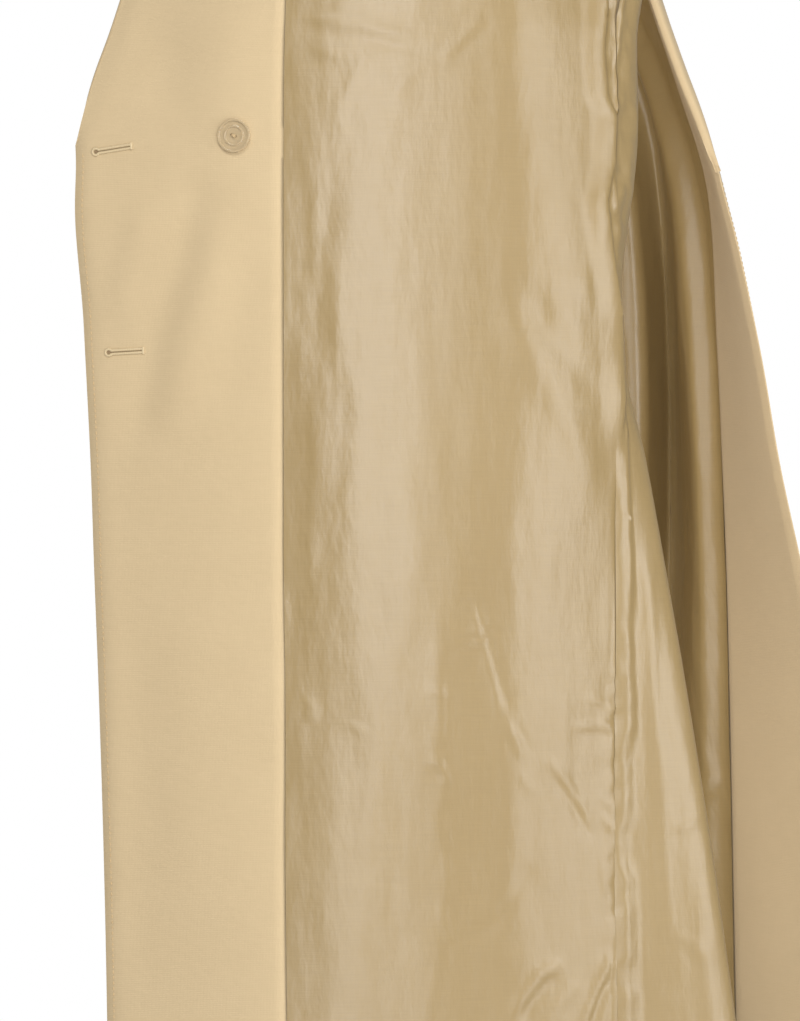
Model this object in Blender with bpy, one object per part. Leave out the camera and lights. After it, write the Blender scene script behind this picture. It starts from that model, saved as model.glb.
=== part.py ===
"""A double-breasted trench coat, worn open and filled out with no wearer.

The coat faces -Y and the wearer's left is +X. The origin is between the shoulders, at the height of the two neck
points, where the wearer's shoulders hold the coat up; everything hangs below it but the collar. The left front hangs
in its place. The right front is opened and laid back over the right sleeve, so its facing and lining face outwards.

Each panel of cloth is worked out from sections: a section is one level line round the panel, given by named stations
in millimetres. Curves through the stations give a grid of points, and the shell, the lining and the facing of a panel
are walls built on that same grid, one inside the other.
"""

import math
from collections import namedtuple

import bpy
import numpy as np

MM = 0.001

# Walls of cloth, as distances from the middle of the shell along its outward normal (mm).
SHELL = (-0.8, 0.8)
LINING = (-2.2, -1.2)
FACING = (-2.6, -1.2)
SEAM_GAP = 1.4

# Sizes of the garment (mm).
NECK_HALF = 84
UNDERARM_Z = -250
BREAK_Z = -372
HEM_Z = -1060
BUTTON_ROWS_Z = (-374, -496)
BUTTON_FROM_EDGE = 96
BUTTON_RADIUS = 12.5
BACKING_RADIUS = 10.0
BACKING_Z = -369
BACKING_FROM_EDGE = 101

COTTON = ("gabardine", (0.60, 0.48, 0.31, 1), 0.85)
SATIN = ("satin_lining", (0.58, 0.47, 0.29, 1), 0.45)
HORN = ("horn_plastic", (0.30, 0.20, 0.11, 1), 0.35)
CLEAR = ("clear_plastic", (0.85, 0.80, 0.68, 0.5), 0.15)

# Sections of the three panels, from the shoulder down to the hem. A station is (x, y, z) in mm.
RightFront = namedtuple("RightFront", "edge facing bulge hinge")
Back = namedtuple("Back", "side flute bend flank blade centre left_blade left_flank left_side")
LeftFront = namedtuple("LeftFront", "side ridge valley crest facing edge")


def level(kind, z, *stations):
    """A section whose stations all lie at height z."""
    return kind(*[(x, y, z) for x, y in stations])


RIGHT_FRONT = (
    RightFront((-114, 14, -8), (-121, 10, -7), (-125, 3, -9), (-122, -3, -14)),
    RightFront((-132, 50, -24), (-160, 34, -14), (-166, 10, -16), (-152, -4, -27)),
    RightFront((-158, 92, -62), (-212, 55, -44), (-228, 8, -44), (-202, -8, -50)),
    RightFront((-196, 142, -128), (-252, 72, -116), (-258, 2, -112), (-212, -42, -112)),
    RightFront((-220, 182, -196), (-270, 100, -190), (-269, 12, -184), (-215, -60, -182)),
    level(RightFront, -250, (-234, 209), (-275, 120), (-270, 20), (-215, -70)),
    level(RightFront, -305, (-237, 228), (-274, 124), (-269, 24), (-215, -70)),
    level(RightFront, BREAK_Z, (-238, 250), (-273, 125), (-268, 25), (-215, -70)),
    level(RightFront, -480, (-238, 245), (-272, 125), (-268, 26), (-215, -70)),
    level(RightFront, -560, (-238, 241), (-272, 125), (-269, 28), (-215, -70)),
    level(RightFront, -620, (-238, 239), (-272, 125), (-270, 28), (-215, -70)),
    level(RightFront, -700, (-238, 236), (-272, 124), (-268, 26), (-215, -70)),
    level(RightFront, -800, (-238, 233), (-271, 124), (-264, 28), (-215, -70)),
    level(RightFront, -900, (-238, 231), (-270, 123), (-260, 24), (-215, -71)),
    level(RightFront, HEM_Z, (-240, 229), (-270, 122), (-256, 20), (-216, -72)),
)

BACK = (
    Back((-197, 1, -47), (-170, 1, -35), (-142, 1, -24), (-114, 1, -12),
         (-86, 4, 0), (0, 56, -14), (86, 4, 0), (142, 3, -24), (197, 2, -47)),
    Back((-194, 22, -64), (-174, 30, -60), (-150, 38, -54), (-126, 45, -46),
         (-102, 52, -40), (0, 86, -46), (102, 52, -40), (150, 38, -54), (194, 22, -64)),
    Back((-186, 50, -112), (-174, 60, -112), (-160, 69, -111), (-146, 77, -110),
         (-130, 84, -110), (0, 108, -112), (130, 84, -110), (160, 69, -111), (187, 50, -112)),
    Back((-181, 46, -182), (-176, 58, -182), (-166, 70, -182), (-154, 81, -182),
         (-138, 91, -182), (0, 114, -182), (138, 91, -182), (164, 72, -182), (185, 46, -182)),
    Back((-197, -26, -230), (-184, 0, -230), (-174, 30, -230), (-164, 62, -230),
         (-138, 92, -230), (0, 114, -230), (138, 91, -230), (169, 60, -230), (187, 15, -230)),
    level(Back, -250, (-215, -70), (-196, -84), (-178, -72), (-172, 2), (-138, 91), (0, 113), (138, 90), (177, 47), (188, 0)),
    level(Back, -305, (-215, -70), (-194, -84), (-172, -74), (-171, 2), (-138, 91), (0, 113), (138, 90), (177, 47), (188, 0)),
    level(Back, BREAK_Z, (-215, -70), (-192, -84), (-166, -74), (-171, 3), (-139, 92), (0, 115), (139, 90), (177, 47), (188, 0)),
    level(Back, -480, (-215, -70), (-193, -73), (-166, -62), (-172, 4), (-142, 96), (0, 120), (143, 94), (180, 49), (191, 0)),
    level(Back, -560, (-215, -70), (-189, -90), (-160, -70), (-174, 6), (-146, 102), (0, 126), (147, 99), (184, 51), (195, 0)),
    level(Back, -620, (-215, -70), (-187, -101), (-157, -72), (-176, 8), (-150, 106), (2, 130), (150, 103), (188, 54), (199, 0)),
    level(Back, -700, (-215, -70), (-185, -115), (-154, -76), (-180, 10), (-156, 112), (-4, 140), (154, 108), (193, 57), (204, 1)),
    level(Back, -800, (-215, -70), (-183, -131), (-151, -82), (-184, 12), (-164, 118), (-10, 154), (160, 114), (200, 60), (211, 2)),
    level(Back, -900, (-215, -71), (-180, -145), (-148, -88), (-188, 14), (-172, 124), (-16, 168), (168, 120), (208, 64), (219, 3)),
    level(Back, HEM_Z, (-216, -72), (-176, -168), (-143, -96), (-194, 16), (-184, 134), (-24, 188), (180, 130), (221, 70), (232, 5)),
)

LEFT_FRONT = (
    LeftFront((197, -2, -47), (176, -2, -38), (155, -2, -29), (134, -2, -20), (112, -2, -11), (88, -3, -1)),
    LeftFront((195, -16, -64), (178, -22, -60), (158, -30, -56), (136, -38, -52), (110, -44, -48), (73, -48, -45)),
    LeftFront((188, -42, -112), (176, -52, -112), (160, -60, -112), (138, -70, -112), (104, -80, -112), (49, -86, -112)),
    LeftFront((185, -44, -182), (178, -58, -182), (166, -72, -182), (145, -86, -182), (98, -95, -182), (23, -95, -182)),
    LeftFront((187, -16, -230), (178, -58, -230), (168, -82, -230), (148, -99, -230), (95, -108, -230), (8, -101, -230)),
    level(LeftFront, -250, (188, 0), (176, -68), (170, -90), (150, -102), (94, -114), (2, -106)),
    level(LeftFront, -305, (188, 0), (171, -88), (174, -112), (140, -123), (92, -132), (-10, -124)),
    level(LeftFront, BREAK_Z, (188, 0), (165, -101), (182, -122), (134, -137), (92, -151), (-20, -149)),
    level(LeftFront, -480, (191, 0), (160, -107), (190, -129), (129, -144), (92, -158), (-22, -174)),
    level(LeftFront, -560, (195, 0), (160, -107), (193, -130), (127, -148), (92, -161), (-22, -188)),
    level(LeftFront, -620, (199, 0), (162, -105), (193, -130), (127, -149), (92, -163), (-22, -201)),
    level(LeftFront, -700, (204, 1), (167, -101), (190, -127), (127, -147), (92, -165), (-22, -219)),
    level(LeftFront, -800, (211, 2), (174, -97), (186, -124), (128, -146), (92, -167), (-22, -238)),
    level(LeftFront, -900, (219, 3), (182, -94), (184, -122), (130, -147), (93, -169), (-20, -254)),
    level(LeftFront, HEM_Z, (232, 5), (194, -90), (184, -120), (134, -150), (96, -173), (-18, -275)),
)

# Columns of the grid between neighbouring stations.
RIGHT_COLUMNS = (5, 4, 4)
BACK_COLUMNS = (3, 3, 4, 4, 4, 4, 3, 3)
LEFT_COLUMNS = (4, 4, 4, 3, 5)
LONGEST_ROW = 85

# Turned-back lapel: its width at each height, from its tip at the gorge down to the break point (mm).
Lapel = namedtuple("Lapel", "z width")
LAPEL = (Lapel(-62, 52), Lapel(-95, 74), Lapel(-128, 94), Lapel(-180, 84), Lapel(-235, 66), Lapel(-290, 45),
         Lapel(-335, 22), Lapel(-362, 6))
# The roll grows from the break point up. Its section is in roll radii, as (beyond the edge, off the cloth); the leaf
# lies off the cloth at parts of the lapel's width.
ROLL_RADIUS = 3.5
ROLL_RADIUS_AT_BREAK = 1.4
ROLL_GROWS_OVER = 130
ROLL_SECTION = ((0, -0.3), (0.6, 0.5), (0.3, 1.4))
CLEAR_OF_EDGE = 1.8
LEAF_PARTS = (0.2, 0.4, 0.6, 0.8, 1.0)
LEAF_LIFT = 4.4

# Armholes, as rings of points from the shoulder point down the front, under the arm and up the back (mm).
LEFT_ARMHOLE = ((199, 0, -49), (190, -42, -112), (187, -44, -182), (189, -15, -230),
                (190, 0, -249), (189, 15, -230), (187, 46, -182), (189, 50, -112))
RIGHT_ARMHOLE = ((-203, 2, -55), (-213, -34, -114), (-216, -50, -182), (-217, -56, -230),
                 (-214, -57, -250), (-203, -16, -232), (-186, 44, -182), (-190, 48, -112))

# Sections of a sleeve: centre, half its depth from front to back, half its width and how far it leans outwards.
Sleeve = namedtuple("Sleeve", "centre depth width lean")
LEFT_SLEEVE = (
    Sleeve((254, 0, -205), 70, 57, 22),
    Sleeve((266, -8, -370), 65, 54, 4),
    Sleeve((266, -20, -500), 61, 51, 0),
    Sleeve((264, -34, -615), 58, 48, -2),
)
RIGHT_SLEEVE = (
    Sleeve((-223, 26, -225), 66, 27, 0),
    Sleeve((-223, 34, -370), 66, 28, 0),
    Sleeve((-222, 38, -500), 64, 28, 0),
    Sleeve((-222, 42, -615), 62, 28, 0),
)
SLEEVE_SIDES = 16
SLEEVE_STEPS = (3, 3, 2, 2)
ARMHOLE_FINE = 12

# Collar: points of the neck seam from the left gorge round the back to the right neck point, and the section of the
# collar there, as (outwards, up) from the seam.
Neck = namedtuple("Neck", "seam fall")
COLLAR = (
    Neck((66, -66, -56), 84),
    Neck((78, -34, -26), 70),
    Neck((88, 2, 3), 58),
    Neck((62, 42, -2), 56),
    Neck((0, 61, -6), 56),
    Neck((-62, 42, -2), 56),
    Neck((-86, 14, 3), 54),
)
COLLAR_STEPS = (2, 2, 2, 2, 2, 2)
# Its section starts on the seam and rises over the stand; each point is (outwards, up, parts of the fall).
STAND = 30
FALL_OUT = 0.62
COLLAR_SECTION = ((1.5, 2, 0), (0, 16, 0), (2, 28, 0), (7, 33, 0), (14, STAND, 0), (14, STAND, 0.42),
                  (14, STAND + 2, 0.76))


def clear_scene():
    for obj in list(bpy.data.objects):
        bpy.data.objects.remove(obj, do_unlink=True)


def material(look):
    name, colour, roughness = look
    found = bpy.data.materials.get(name)
    if found:
        return found
    made = bpy.data.materials.new(name)
    made.use_nodes = True
    shader = made.node_tree.nodes["Principled BSDF"]
    shader.inputs["Base Color"].default_value = colour
    shader.inputs["Roughness"].default_value = roughness
    made.diffuse_color = colour
    return made


def unit(vectors):
    return vectors / np.linalg.norm(vectors, axis=-1, keepdims=True)


def curve(points, before=None, after=None):
    """A smooth curve through points (Catmull-Rom, chordal knots): a function of segment and fraction."""
    points = np.asarray(points, float)
    first = 2 * points[0] - points[1] if before is None else np.asarray(before, float)
    last = 2 * points[-1] - points[-2] if after is None else np.asarray(after, float)
    full = np.vstack([first, points, last])
    chord = np.sqrt(np.linalg.norm(np.diff(full, axis=0), axis=1)) + 1e-6

    def at(segment, fraction):
        p0, p1, p2, p3 = full[segment : segment + 4]
        d0, d1, d2 = chord[segment : segment + 3]
        m1 = d1 * ((p1 - p0) / d0 - (p2 - p0) / (d0 + d1) + (p2 - p1) / d1)
        m2 = d1 * ((p2 - p1) / d1 - (p3 - p1) / (d1 + d2) + (p3 - p2) / d2)
        t = fraction
        return (
            (2 * t**3 - 3 * t**2 + 1) * p1
            + (t**3 - 2 * t**2 + t) * m1
            + (3 * t**2 - 2 * t**3) * p2
            + (t**3 - t**2) * m2
        )

    return at


def sampled(points, steps, before=None, after=None):
    """Points along the curve through points, with steps[i] parts between neighbours."""
    at = curve(points, before, after)
    found = [at(i, k / n) for i, n in enumerate(steps) for k in range(n)]
    return np.array(found + [at(len(steps) - 1, 1.0)])


def row_steps(table):
    """How many rows fill each gap of a table, so that no row is longer than LONGEST_ROW."""
    stations = np.array(table, float)
    gaps = np.linalg.norm(np.diff(stations, axis=0), axis=2).mean(axis=1)
    return [max(1, math.ceil(gap / LONGEST_ROW)) for gap in gaps]


def filled(table):
    """The table's sections, and those between them: an array of rows, stations and x, y, z."""
    stations = np.array(table, float)
    steps = row_steps(table)
    return np.stack([sampled(stations[:, k], steps) for k in range(stations.shape[1])], axis=1)


def panel_grid(rows, columns, before=None, after=None):
    """Rows of points across a panel. before and after hold the neighbour's nearest station in each row."""
    return np.array([
        sampled(row, columns, None if before is None else before[i], None if after is None else after[i])
        for i, row in enumerate(rows)
    ])


def grid_normals(grid):
    """Unit normals on the outer side of a grid whose rows go down and columns go from the wearer's right edge round."""
    across = np.gradient(grid, axis=1)
    down = np.gradient(grid, axis=0)
    return unit(np.cross(across, down))


def share_normals(first, second, first_grid, second_grid):
    """One normal for the last column of a panel and the first of the next, in the rows where they meet."""
    meets = np.linalg.norm(first_grid[:, -1] - second_grid[:, 0], axis=1) < 1
    both = unit(first[:, -1] + second[:, 0])
    first[meets, -1] = both[meets]
    second[meets, 0] = both[meets]


def ridge_normals(grid, normals):
    """On the shoulder seams the back and the fronts meet in a ridge, so both walls end straight across it."""
    shoulder = np.abs(grid[0, :, 0]) > NECK_HALF
    normals[0, shoulder, 1] = 0
    normals[0] = unit(normals[0])


def trimmed(grid, left, right):
    """The grid with its first and last column moved in by half a seam gap where asked."""
    grid = grid.copy()
    half = SEAM_GAP / 2
    if left:
        grid[:, 0] += half * unit(grid[:, 1] - grid[:, 0])
    if right:
        grid[:, -1] += half * unit(grid[:, -2] - grid[:, -1])
    return grid


def mesh_object(name, points, faces, look):
    mesh = bpy.data.meshes.new(name)
    mesh.from_pydata([tuple(point * MM) for point in points], [], faces)
    mesh.materials.append(material(look))
    mesh.shade_smooth()
    mesh.set_sharp_from_angle(angle=math.radians(50))
    obj = bpy.data.objects.new(name, mesh)
    bpy.context.collection.objects.link(obj)


def wall(name, grid, normals, span, look, round_tube=False):
    """A closed wall on a grid: its inner and outer faces lie span[0] and span[1] along the normals."""
    rows, columns = grid.shape[:2]
    outer = (grid + span[1] * normals).reshape(-1, 3)
    inner = (grid + span[0] * normals).reshape(-1, 3)
    count = rows * columns
    wrap = columns if round_tube else columns - 1

    def index(i, j):
        return i * columns + j % columns

    faces = []
    for i in range(rows - 1):
        for j in range(wrap):
            quad = (index(i, j), index(i, j + 1), index(i + 1, j + 1), index(i + 1, j))
            for a, b, c in ((0, 1, 2), (0, 2, 3)):
                faces.append((quad[a], quad[b], quad[c]))
                faces.append((quad[c] + count, quad[b] + count, quad[a] + count))
    rims = [[(index(0, j + 1), index(0, j)) for j in range(wrap)],
            [(index(rows - 1, j), index(rows - 1, j + 1)) for j in range(wrap)]]
    if not round_tube:
        rims.append([(index(i, 0), index(i + 1, 0)) for i in range(rows - 1)])
        rims.append([(index(i + 1, columns - 1), index(i, columns - 1)) for i in range(rows - 1)])
    for a, b in (pair for rim in rims for pair in rim):
        faces.append((a, b, b + count))
        faces.append((a, b + count, a + count))
    mesh_object(name, np.vstack([outer, inner]), faces, look)


def panel(rows, columns, before=None, after=None):
    grid = panel_grid(rows, columns, before, after)
    return grid, grid_normals(grid)


def neighbours(rows, own, other_rows, other):
    """The neighbour's station beyond a seam in each row, or the panel's own run-out where the armhole parts them."""
    found = []
    other_by_z = {round(float(row[0][2]), 1): row for row in other_rows}
    for row in rows:
        z = round(float(row[own[0]][2]), 1)
        beyond = other_by_z.get(z)
        if z > UNDERARM_Z - 1 or beyond is None:
            found.append(2 * row[own[0]] - row[own[1]])
        else:
            found.append(beyond[other])
    return found


def build_body():
    right, back, left = filled(RIGHT_FRONT), filled(BACK), filled(LEFT_FRONT)
    right_after = neighbours(right, (3, 2), back, 1)
    back_before = neighbours(back, (0, 1), right, 2)
    back_after = neighbours(back, (8, 7), left, 1)
    left_before = neighbours(left, (0, 1), back, 7)
    right_grid, right_out = panel(right, RIGHT_COLUMNS, None, right_after)
    back_grid, back_out = panel(back, BACK_COLUMNS, back_before, back_after)
    left_grid, left_out = panel(left, LEFT_COLUMNS, left_before, None)
    ridge_normals(back_grid, back_out)
    ridge_normals(left_grid, left_out)
    low = len(right_grid) - len([row for row in right if row[0][2] <= UNDERARM_Z + 1])
    low_back = len(back_grid) - (len(right_grid) - low)
    low_left = len(left_grid) - (len(right_grid) - low)
    share_normals(right_out[low:], back_out[low_back:], right_grid[low:], back_grid[low_back:])
    share_normals(back_out[low_back:], left_out[low_left:], back_grid[low_back:], left_grid[low_left:])
    return {"right": (right_grid, right_out), "back": (back_grid, back_out), "left": (left_grid, left_out)}


def build_panels(body):
    right_facing_end = RIGHT_COLUMNS[0] + 1
    left_facing_start = sum(LEFT_COLUMNS[:4])
    pieces = (
        ("right_front", "right", slice(None), SHELL, COTTON, False, True),
        ("right_facing", "right", slice(0, right_facing_end), FACING, COTTON, False, True),
        ("right_front_lining", "right", slice(right_facing_end - 1, None), LINING, SATIN, True, True),
        ("back", "back", slice(None), SHELL, COTTON, True, True),
        ("back_lining", "back", slice(None), LINING, SATIN, True, True),
        ("left_front", "left", slice(None), SHELL, COTTON, True, False),
        ("left_front_lining", "left", slice(0, left_facing_start + 1), LINING, SATIN, True, True),
        ("left_facing", "left", slice(left_facing_start, None), FACING, COTTON, True, False),
    )
    for name, side, columns, span, look, trim_first, trim_last in pieces:
        grid, normals = body[side]
        part = trimmed(grid[:, columns], trim_first, trim_last)
        wall(name, part, normals[:, columns], span, look)


def row_at(grid, normals, z, from_edge):
    """A panel's level line at the height its edge reaches z, from the free edge inwards."""
    edge = 0 if from_edge == "first" else -1
    heights = grid[:, edge, 2]
    row = int(np.argmax(heights < z))
    t = (heights[row - 1] - z) / (heights[row - 1] - heights[row])
    line = (1 - t) * grid[row - 1] + t * grid[row]
    out = unit((1 - t) * normals[row - 1] + t * normals[row])
    return (line, out) if edge == 0 else (line[::-1], out[::-1])


def along(line, out, distance):
    """The point and normal at a distance along a line of points."""
    steps = np.linalg.norm(np.diff(line, axis=0), axis=1)
    reach = np.concatenate([[0], np.cumsum(steps)])
    place = [np.interp(distance, reach, line[:, k]) for k in range(3)]
    normal = [np.interp(distance, reach, out[:, k]) for k in range(3)]
    return np.array(place), unit(np.array(normal))


def build_lapel(name, grid, normals, from_edge):
    """The lapel: it rolls over the front's edge and lies on the outside of the front."""
    rows = []
    for section in LAPEL:
        line, out = row_at(grid, normals, section.z, from_edge)
        beyond = unit(line[0] - line[1])
        grown = min(1, (section.z - BREAK_Z) / ROLL_GROWS_OVER)
        radius = ROLL_RADIUS_AT_BREAK + grown * (ROLL_RADIUS - ROLL_RADIUS_AT_BREAK)
        roll = [line[0] + (CLEAR_OF_EDGE + ahead * radius) * beyond + up * radius * out[0]
                for ahead, up in ROLL_SECTION]
        leaf = []
        for part in LEAF_PARTS:
            place, normal = along(line, out, part * section.width)
            leaf.append(place + (LEAF_LIFT + 2 * (radius - ROLL_RADIUS_AT_BREAK) * (1 - part)) * normal)
        rows.append(np.array(roll + leaf))
    leaf_grid = np.array(rows)
    wall(name, leaf_grid, grid_normals(leaf_grid), SHELL, COTTON)


def sleeve_ring(section):
    """Points round one section of a sleeve, from its outer side to the front, the inner side and the back."""
    angles = np.arange(SLEEVE_SIDES) * 2 * math.pi / SLEEVE_SIDES
    outward = 1 if section.centre[0] > 0 else -1
    lean = math.radians(section.lean)
    side = np.array([outward * math.cos(lean), 0, math.sin(lean)])
    ahead = np.array([0, -1, 0])
    return np.array([
        np.array(section.centre) + section.width * math.cos(a) * side + section.depth * math.sin(a) * ahead
        for a in angles
    ])


def armhole_ring(points):
    """The armhole's points joined by a closed curve and read at even steps."""
    closed = list(points) + [points[0]]
    fine = sampled(closed, [ARMHOLE_FINE] * len(points), points[-1], points[1])
    reach = np.concatenate([[0], np.cumsum(np.linalg.norm(np.diff(fine, axis=0), axis=1))])
    wanted = np.arange(SLEEVE_SIDES) / SLEEVE_SIDES * reach[-1]
    return np.array([[np.interp(w, reach, fine[:, k]) for k in range(3)] for w in wanted])


def build_sleeve(name, armhole, sections):
    rings = np.array([armhole_ring(armhole)] + [sleeve_ring(section) for section in sections])
    grid = np.stack([sampled(rings[:, k], SLEEVE_STEPS) for k in range(SLEEVE_SIDES)], axis=1)
    across = np.roll(grid, -1, axis=1) - np.roll(grid, 1, axis=1)
    down = np.gradient(grid, axis=0)
    normals = unit(np.cross(across, down))
    centre = grid.mean(axis=1, keepdims=True)
    if (normals * (grid - centre)).sum() < 0:
        grid, normals = grid[:, ::-1], -normals[:, ::-1]
    wall(name, grid, normals, SHELL, COTTON, round_tube=True)


def build_collar():
    """The stand rises from the neck seam, rolls over and falls outwards."""
    seam = sampled([row.seam for row in COLLAR], COLLAR_STEPS)
    fall = sampled([(row.fall, 0, 0) for row in COLLAR], COLLAR_STEPS)[:, 0]
    tangent = unit(np.gradient(seam, axis=0))
    up = np.array([0, 0, 1.0])
    rows = []
    for place, along_seam, drop in zip(seam, tangent, fall):
        out = unit(np.cross(along_seam, up))
        if np.dot(out[:2], place[:2]) < 0:
            out = -out
        rows.append([place + (o + part * drop * FALL_OUT) * out + (z - part * drop) * up
                     for o, z, part in COLLAR_SECTION])
    grid = np.array(rows).transpose(1, 0, 2)
    wall("collar", grid, grid_normals(grid), SHELL, COTTON)


def build_disc(name, place, normal, radius, profile, look, sides=20):
    """A turned button, closed below and above."""
    across = unit(np.cross(normal, (0, 0, 1.0)))
    upward = np.cross(normal, across)
    points, faces = [], []
    for part, height in profile:
        for k in range(sides):
            a = 2 * math.pi * k / sides
            points.append(place + height * normal + part * radius * (math.cos(a) * across + math.sin(a) * upward))
    top, bottom = len(points), len(points) + 1
    points += [place + profile[-1][1] * normal, place + profile[0][1] * normal]
    rings = len(profile)
    for k in range(sides):
        after = (k + 1) % sides
        faces.append((bottom, after, k))
        faces.append((top, (rings - 1) * sides + k, (rings - 1) * sides + after))
        for r in range(rings - 1):
            a, b = r * sides + k, r * sides + after
            faces.append((a, b, b + sides, a + sides))
    mesh_object(name, points, faces, look)


# Sections of the buttons from the cloth up, as (part of the radius, height off the cloth).
OUTER_BUTTON = ((0.62, 1.2), (0.97, 2.0), (1.0, 3.2), (0.9, 4.4), (0.72, 4.5), (0.62, 3.7))
BACKING_BUTTON = ((0.75, 0.8), (1.0, 1.5), (1.0, 2.2), (0.86, 3.0), (0.66, 2.9), (0.56, 2.1))


def build_buttons(body):
    for side, edge in (("right", "first"), ("left", "last")):
        grid, normals = body[side]
        for row, z in enumerate(BUTTON_ROWS_Z, 1):
            line, out = row_at(grid, normals, z, edge)
            place, normal = along(line, out, BUTTON_FROM_EDGE)
            build_disc(f"button_{side}_{row}", place + SHELL[1] * normal, normal, BUTTON_RADIUS, OUTER_BUTTON, HORN)
    line, out = row_at(*body["right"], BACKING_Z, "first")
    place, normal = along(line, out, BACKING_FROM_EDGE)
    build_disc("backing_button", place + FACING[0] * normal, -normal, BACKING_RADIUS, BACKING_BUTTON, CLEAR)


def main():
    clear_scene()
    body = build_body()
    build_panels(body)
    build_lapel("right_lapel", *body["right"], "first")
    build_lapel("left_lapel", *body["left"], "last")
    build_sleeve("left_sleeve", LEFT_ARMHOLE, LEFT_SLEEVE)
    build_sleeve("right_sleeve", RIGHT_ARMHOLE, RIGHT_SLEEVE)
    build_collar()
    build_buttons(body)


main()
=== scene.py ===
"""The looks of the open trench coat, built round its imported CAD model.

The coat faces -Y, the wearer's left is +X and the origin is between the neck points. The right front is laid
open and back, so the camera at -X looks at its facing and lining, and past the side seam into the hollow coat.

Every cloth is a thin sheet on the form of its solid. The sections of part.py are repeated here and sampled more
finely, and folds, creases and puckers are added across them. Sizes are millimetres until a mesh is made.
"""

import math
from collections import namedtuple

import bmesh
import bpy
import numpy as np
from mathutils import Matrix, Vector


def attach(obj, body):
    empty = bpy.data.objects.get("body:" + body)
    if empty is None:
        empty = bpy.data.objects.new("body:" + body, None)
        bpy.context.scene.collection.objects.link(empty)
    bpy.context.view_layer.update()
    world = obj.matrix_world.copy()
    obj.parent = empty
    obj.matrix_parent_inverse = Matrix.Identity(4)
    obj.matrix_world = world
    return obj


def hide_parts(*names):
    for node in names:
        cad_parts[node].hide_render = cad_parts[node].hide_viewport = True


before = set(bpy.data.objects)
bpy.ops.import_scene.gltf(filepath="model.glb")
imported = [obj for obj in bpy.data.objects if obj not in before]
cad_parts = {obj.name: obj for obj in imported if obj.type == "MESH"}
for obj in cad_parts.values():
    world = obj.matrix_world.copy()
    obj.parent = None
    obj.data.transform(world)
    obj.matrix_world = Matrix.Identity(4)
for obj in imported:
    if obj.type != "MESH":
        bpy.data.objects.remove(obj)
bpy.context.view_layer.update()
bpy.ops.object.select_all(action="DESELECT")

MM = 0.001
BODY = "root"

# Sizes of the garment, as in part.py.
NECK_HALF = 84
UNDERARM_Z = -250
RUN_IN_Z = -305
BREAK_Z = -372
HEM_Z = -1060
BUTTON_ROWS_Z = (-374, -496)
BUTTON_FROM_EDGE = 96
BACKING_Z = -369
BACKING_FROM_EDGE = 101

# Distances of the cloths from the middle of the shell, outwards (mm).
SHELL_IN, SHELL_OUT = -0.7, 0.8
FACING_IN, FACING_OUT = -2.7, -1.6
LINING_AT = -2.2

# The shell is turned up inside at the hem, and the lining ends above its edge (mm).
LINING_HEM = 22
HEM_DEPTH = 50
HEM_IN, HEM_OUT = -1.9, -0.9
HEM_STITCH_ROW = 7

# Topstitching lies so far in from the free edges (mm).
FACING_STITCH = 6
SHELL_STITCH = 5.2

# Sections of the panels, from the shoulder down to the hem. A station is (x, y, z) in mm.
RightFront = namedtuple("RightFront", "edge facing bulge hinge")
Back = namedtuple("Back", "side flute bend flank blade centre left_blade left_flank left_side")
LeftFront = namedtuple("LeftFront", "side ridge valley crest facing edge")


def level(kind, z, *stations):
    """A section whose stations all lie at height z."""
    return kind(*[(x, y, z) for x, y in stations])


RIGHT_FRONT = (
    RightFront((-114, 14, -8), (-121, 10, -7), (-125, 3, -9), (-122, -3, -14)),
    RightFront((-132, 50, -24), (-160, 34, -14), (-166, 10, -16), (-152, -4, -27)),
    RightFront((-158, 92, -62), (-212, 55, -44), (-228, 8, -44), (-202, -8, -50)),
    RightFront((-196, 142, -128), (-252, 72, -116), (-258, 2, -112), (-212, -42, -112)),
    RightFront((-220, 182, -196), (-270, 100, -190), (-269, 12, -184), (-215, -60, -182)),
    level(RightFront, -250, (-234, 209), (-275, 120), (-270, 20), (-215, -70)),
    level(RightFront, -305, (-237, 228), (-274, 124), (-269, 24), (-215, -70)),
    level(RightFront, BREAK_Z, (-238, 250), (-273, 125), (-268, 25), (-215, -70)),
    level(RightFront, -480, (-238, 245), (-272, 125), (-268, 26), (-215, -70)),
    level(RightFront, -560, (-238, 241), (-272, 125), (-269, 28), (-215, -70)),
    level(RightFront, -620, (-238, 239), (-272, 125), (-270, 28), (-215, -70)),
    level(RightFront, -700, (-238, 236), (-272, 124), (-268, 26), (-215, -70)),
    level(RightFront, -800, (-238, 233), (-271, 124), (-264, 28), (-215, -70)),
    level(RightFront, -900, (-238, 231), (-270, 123), (-260, 24), (-215, -71)),
    level(RightFront, HEM_Z, (-240, 229), (-270, 122), (-256, 20), (-216, -72)),
)

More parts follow.
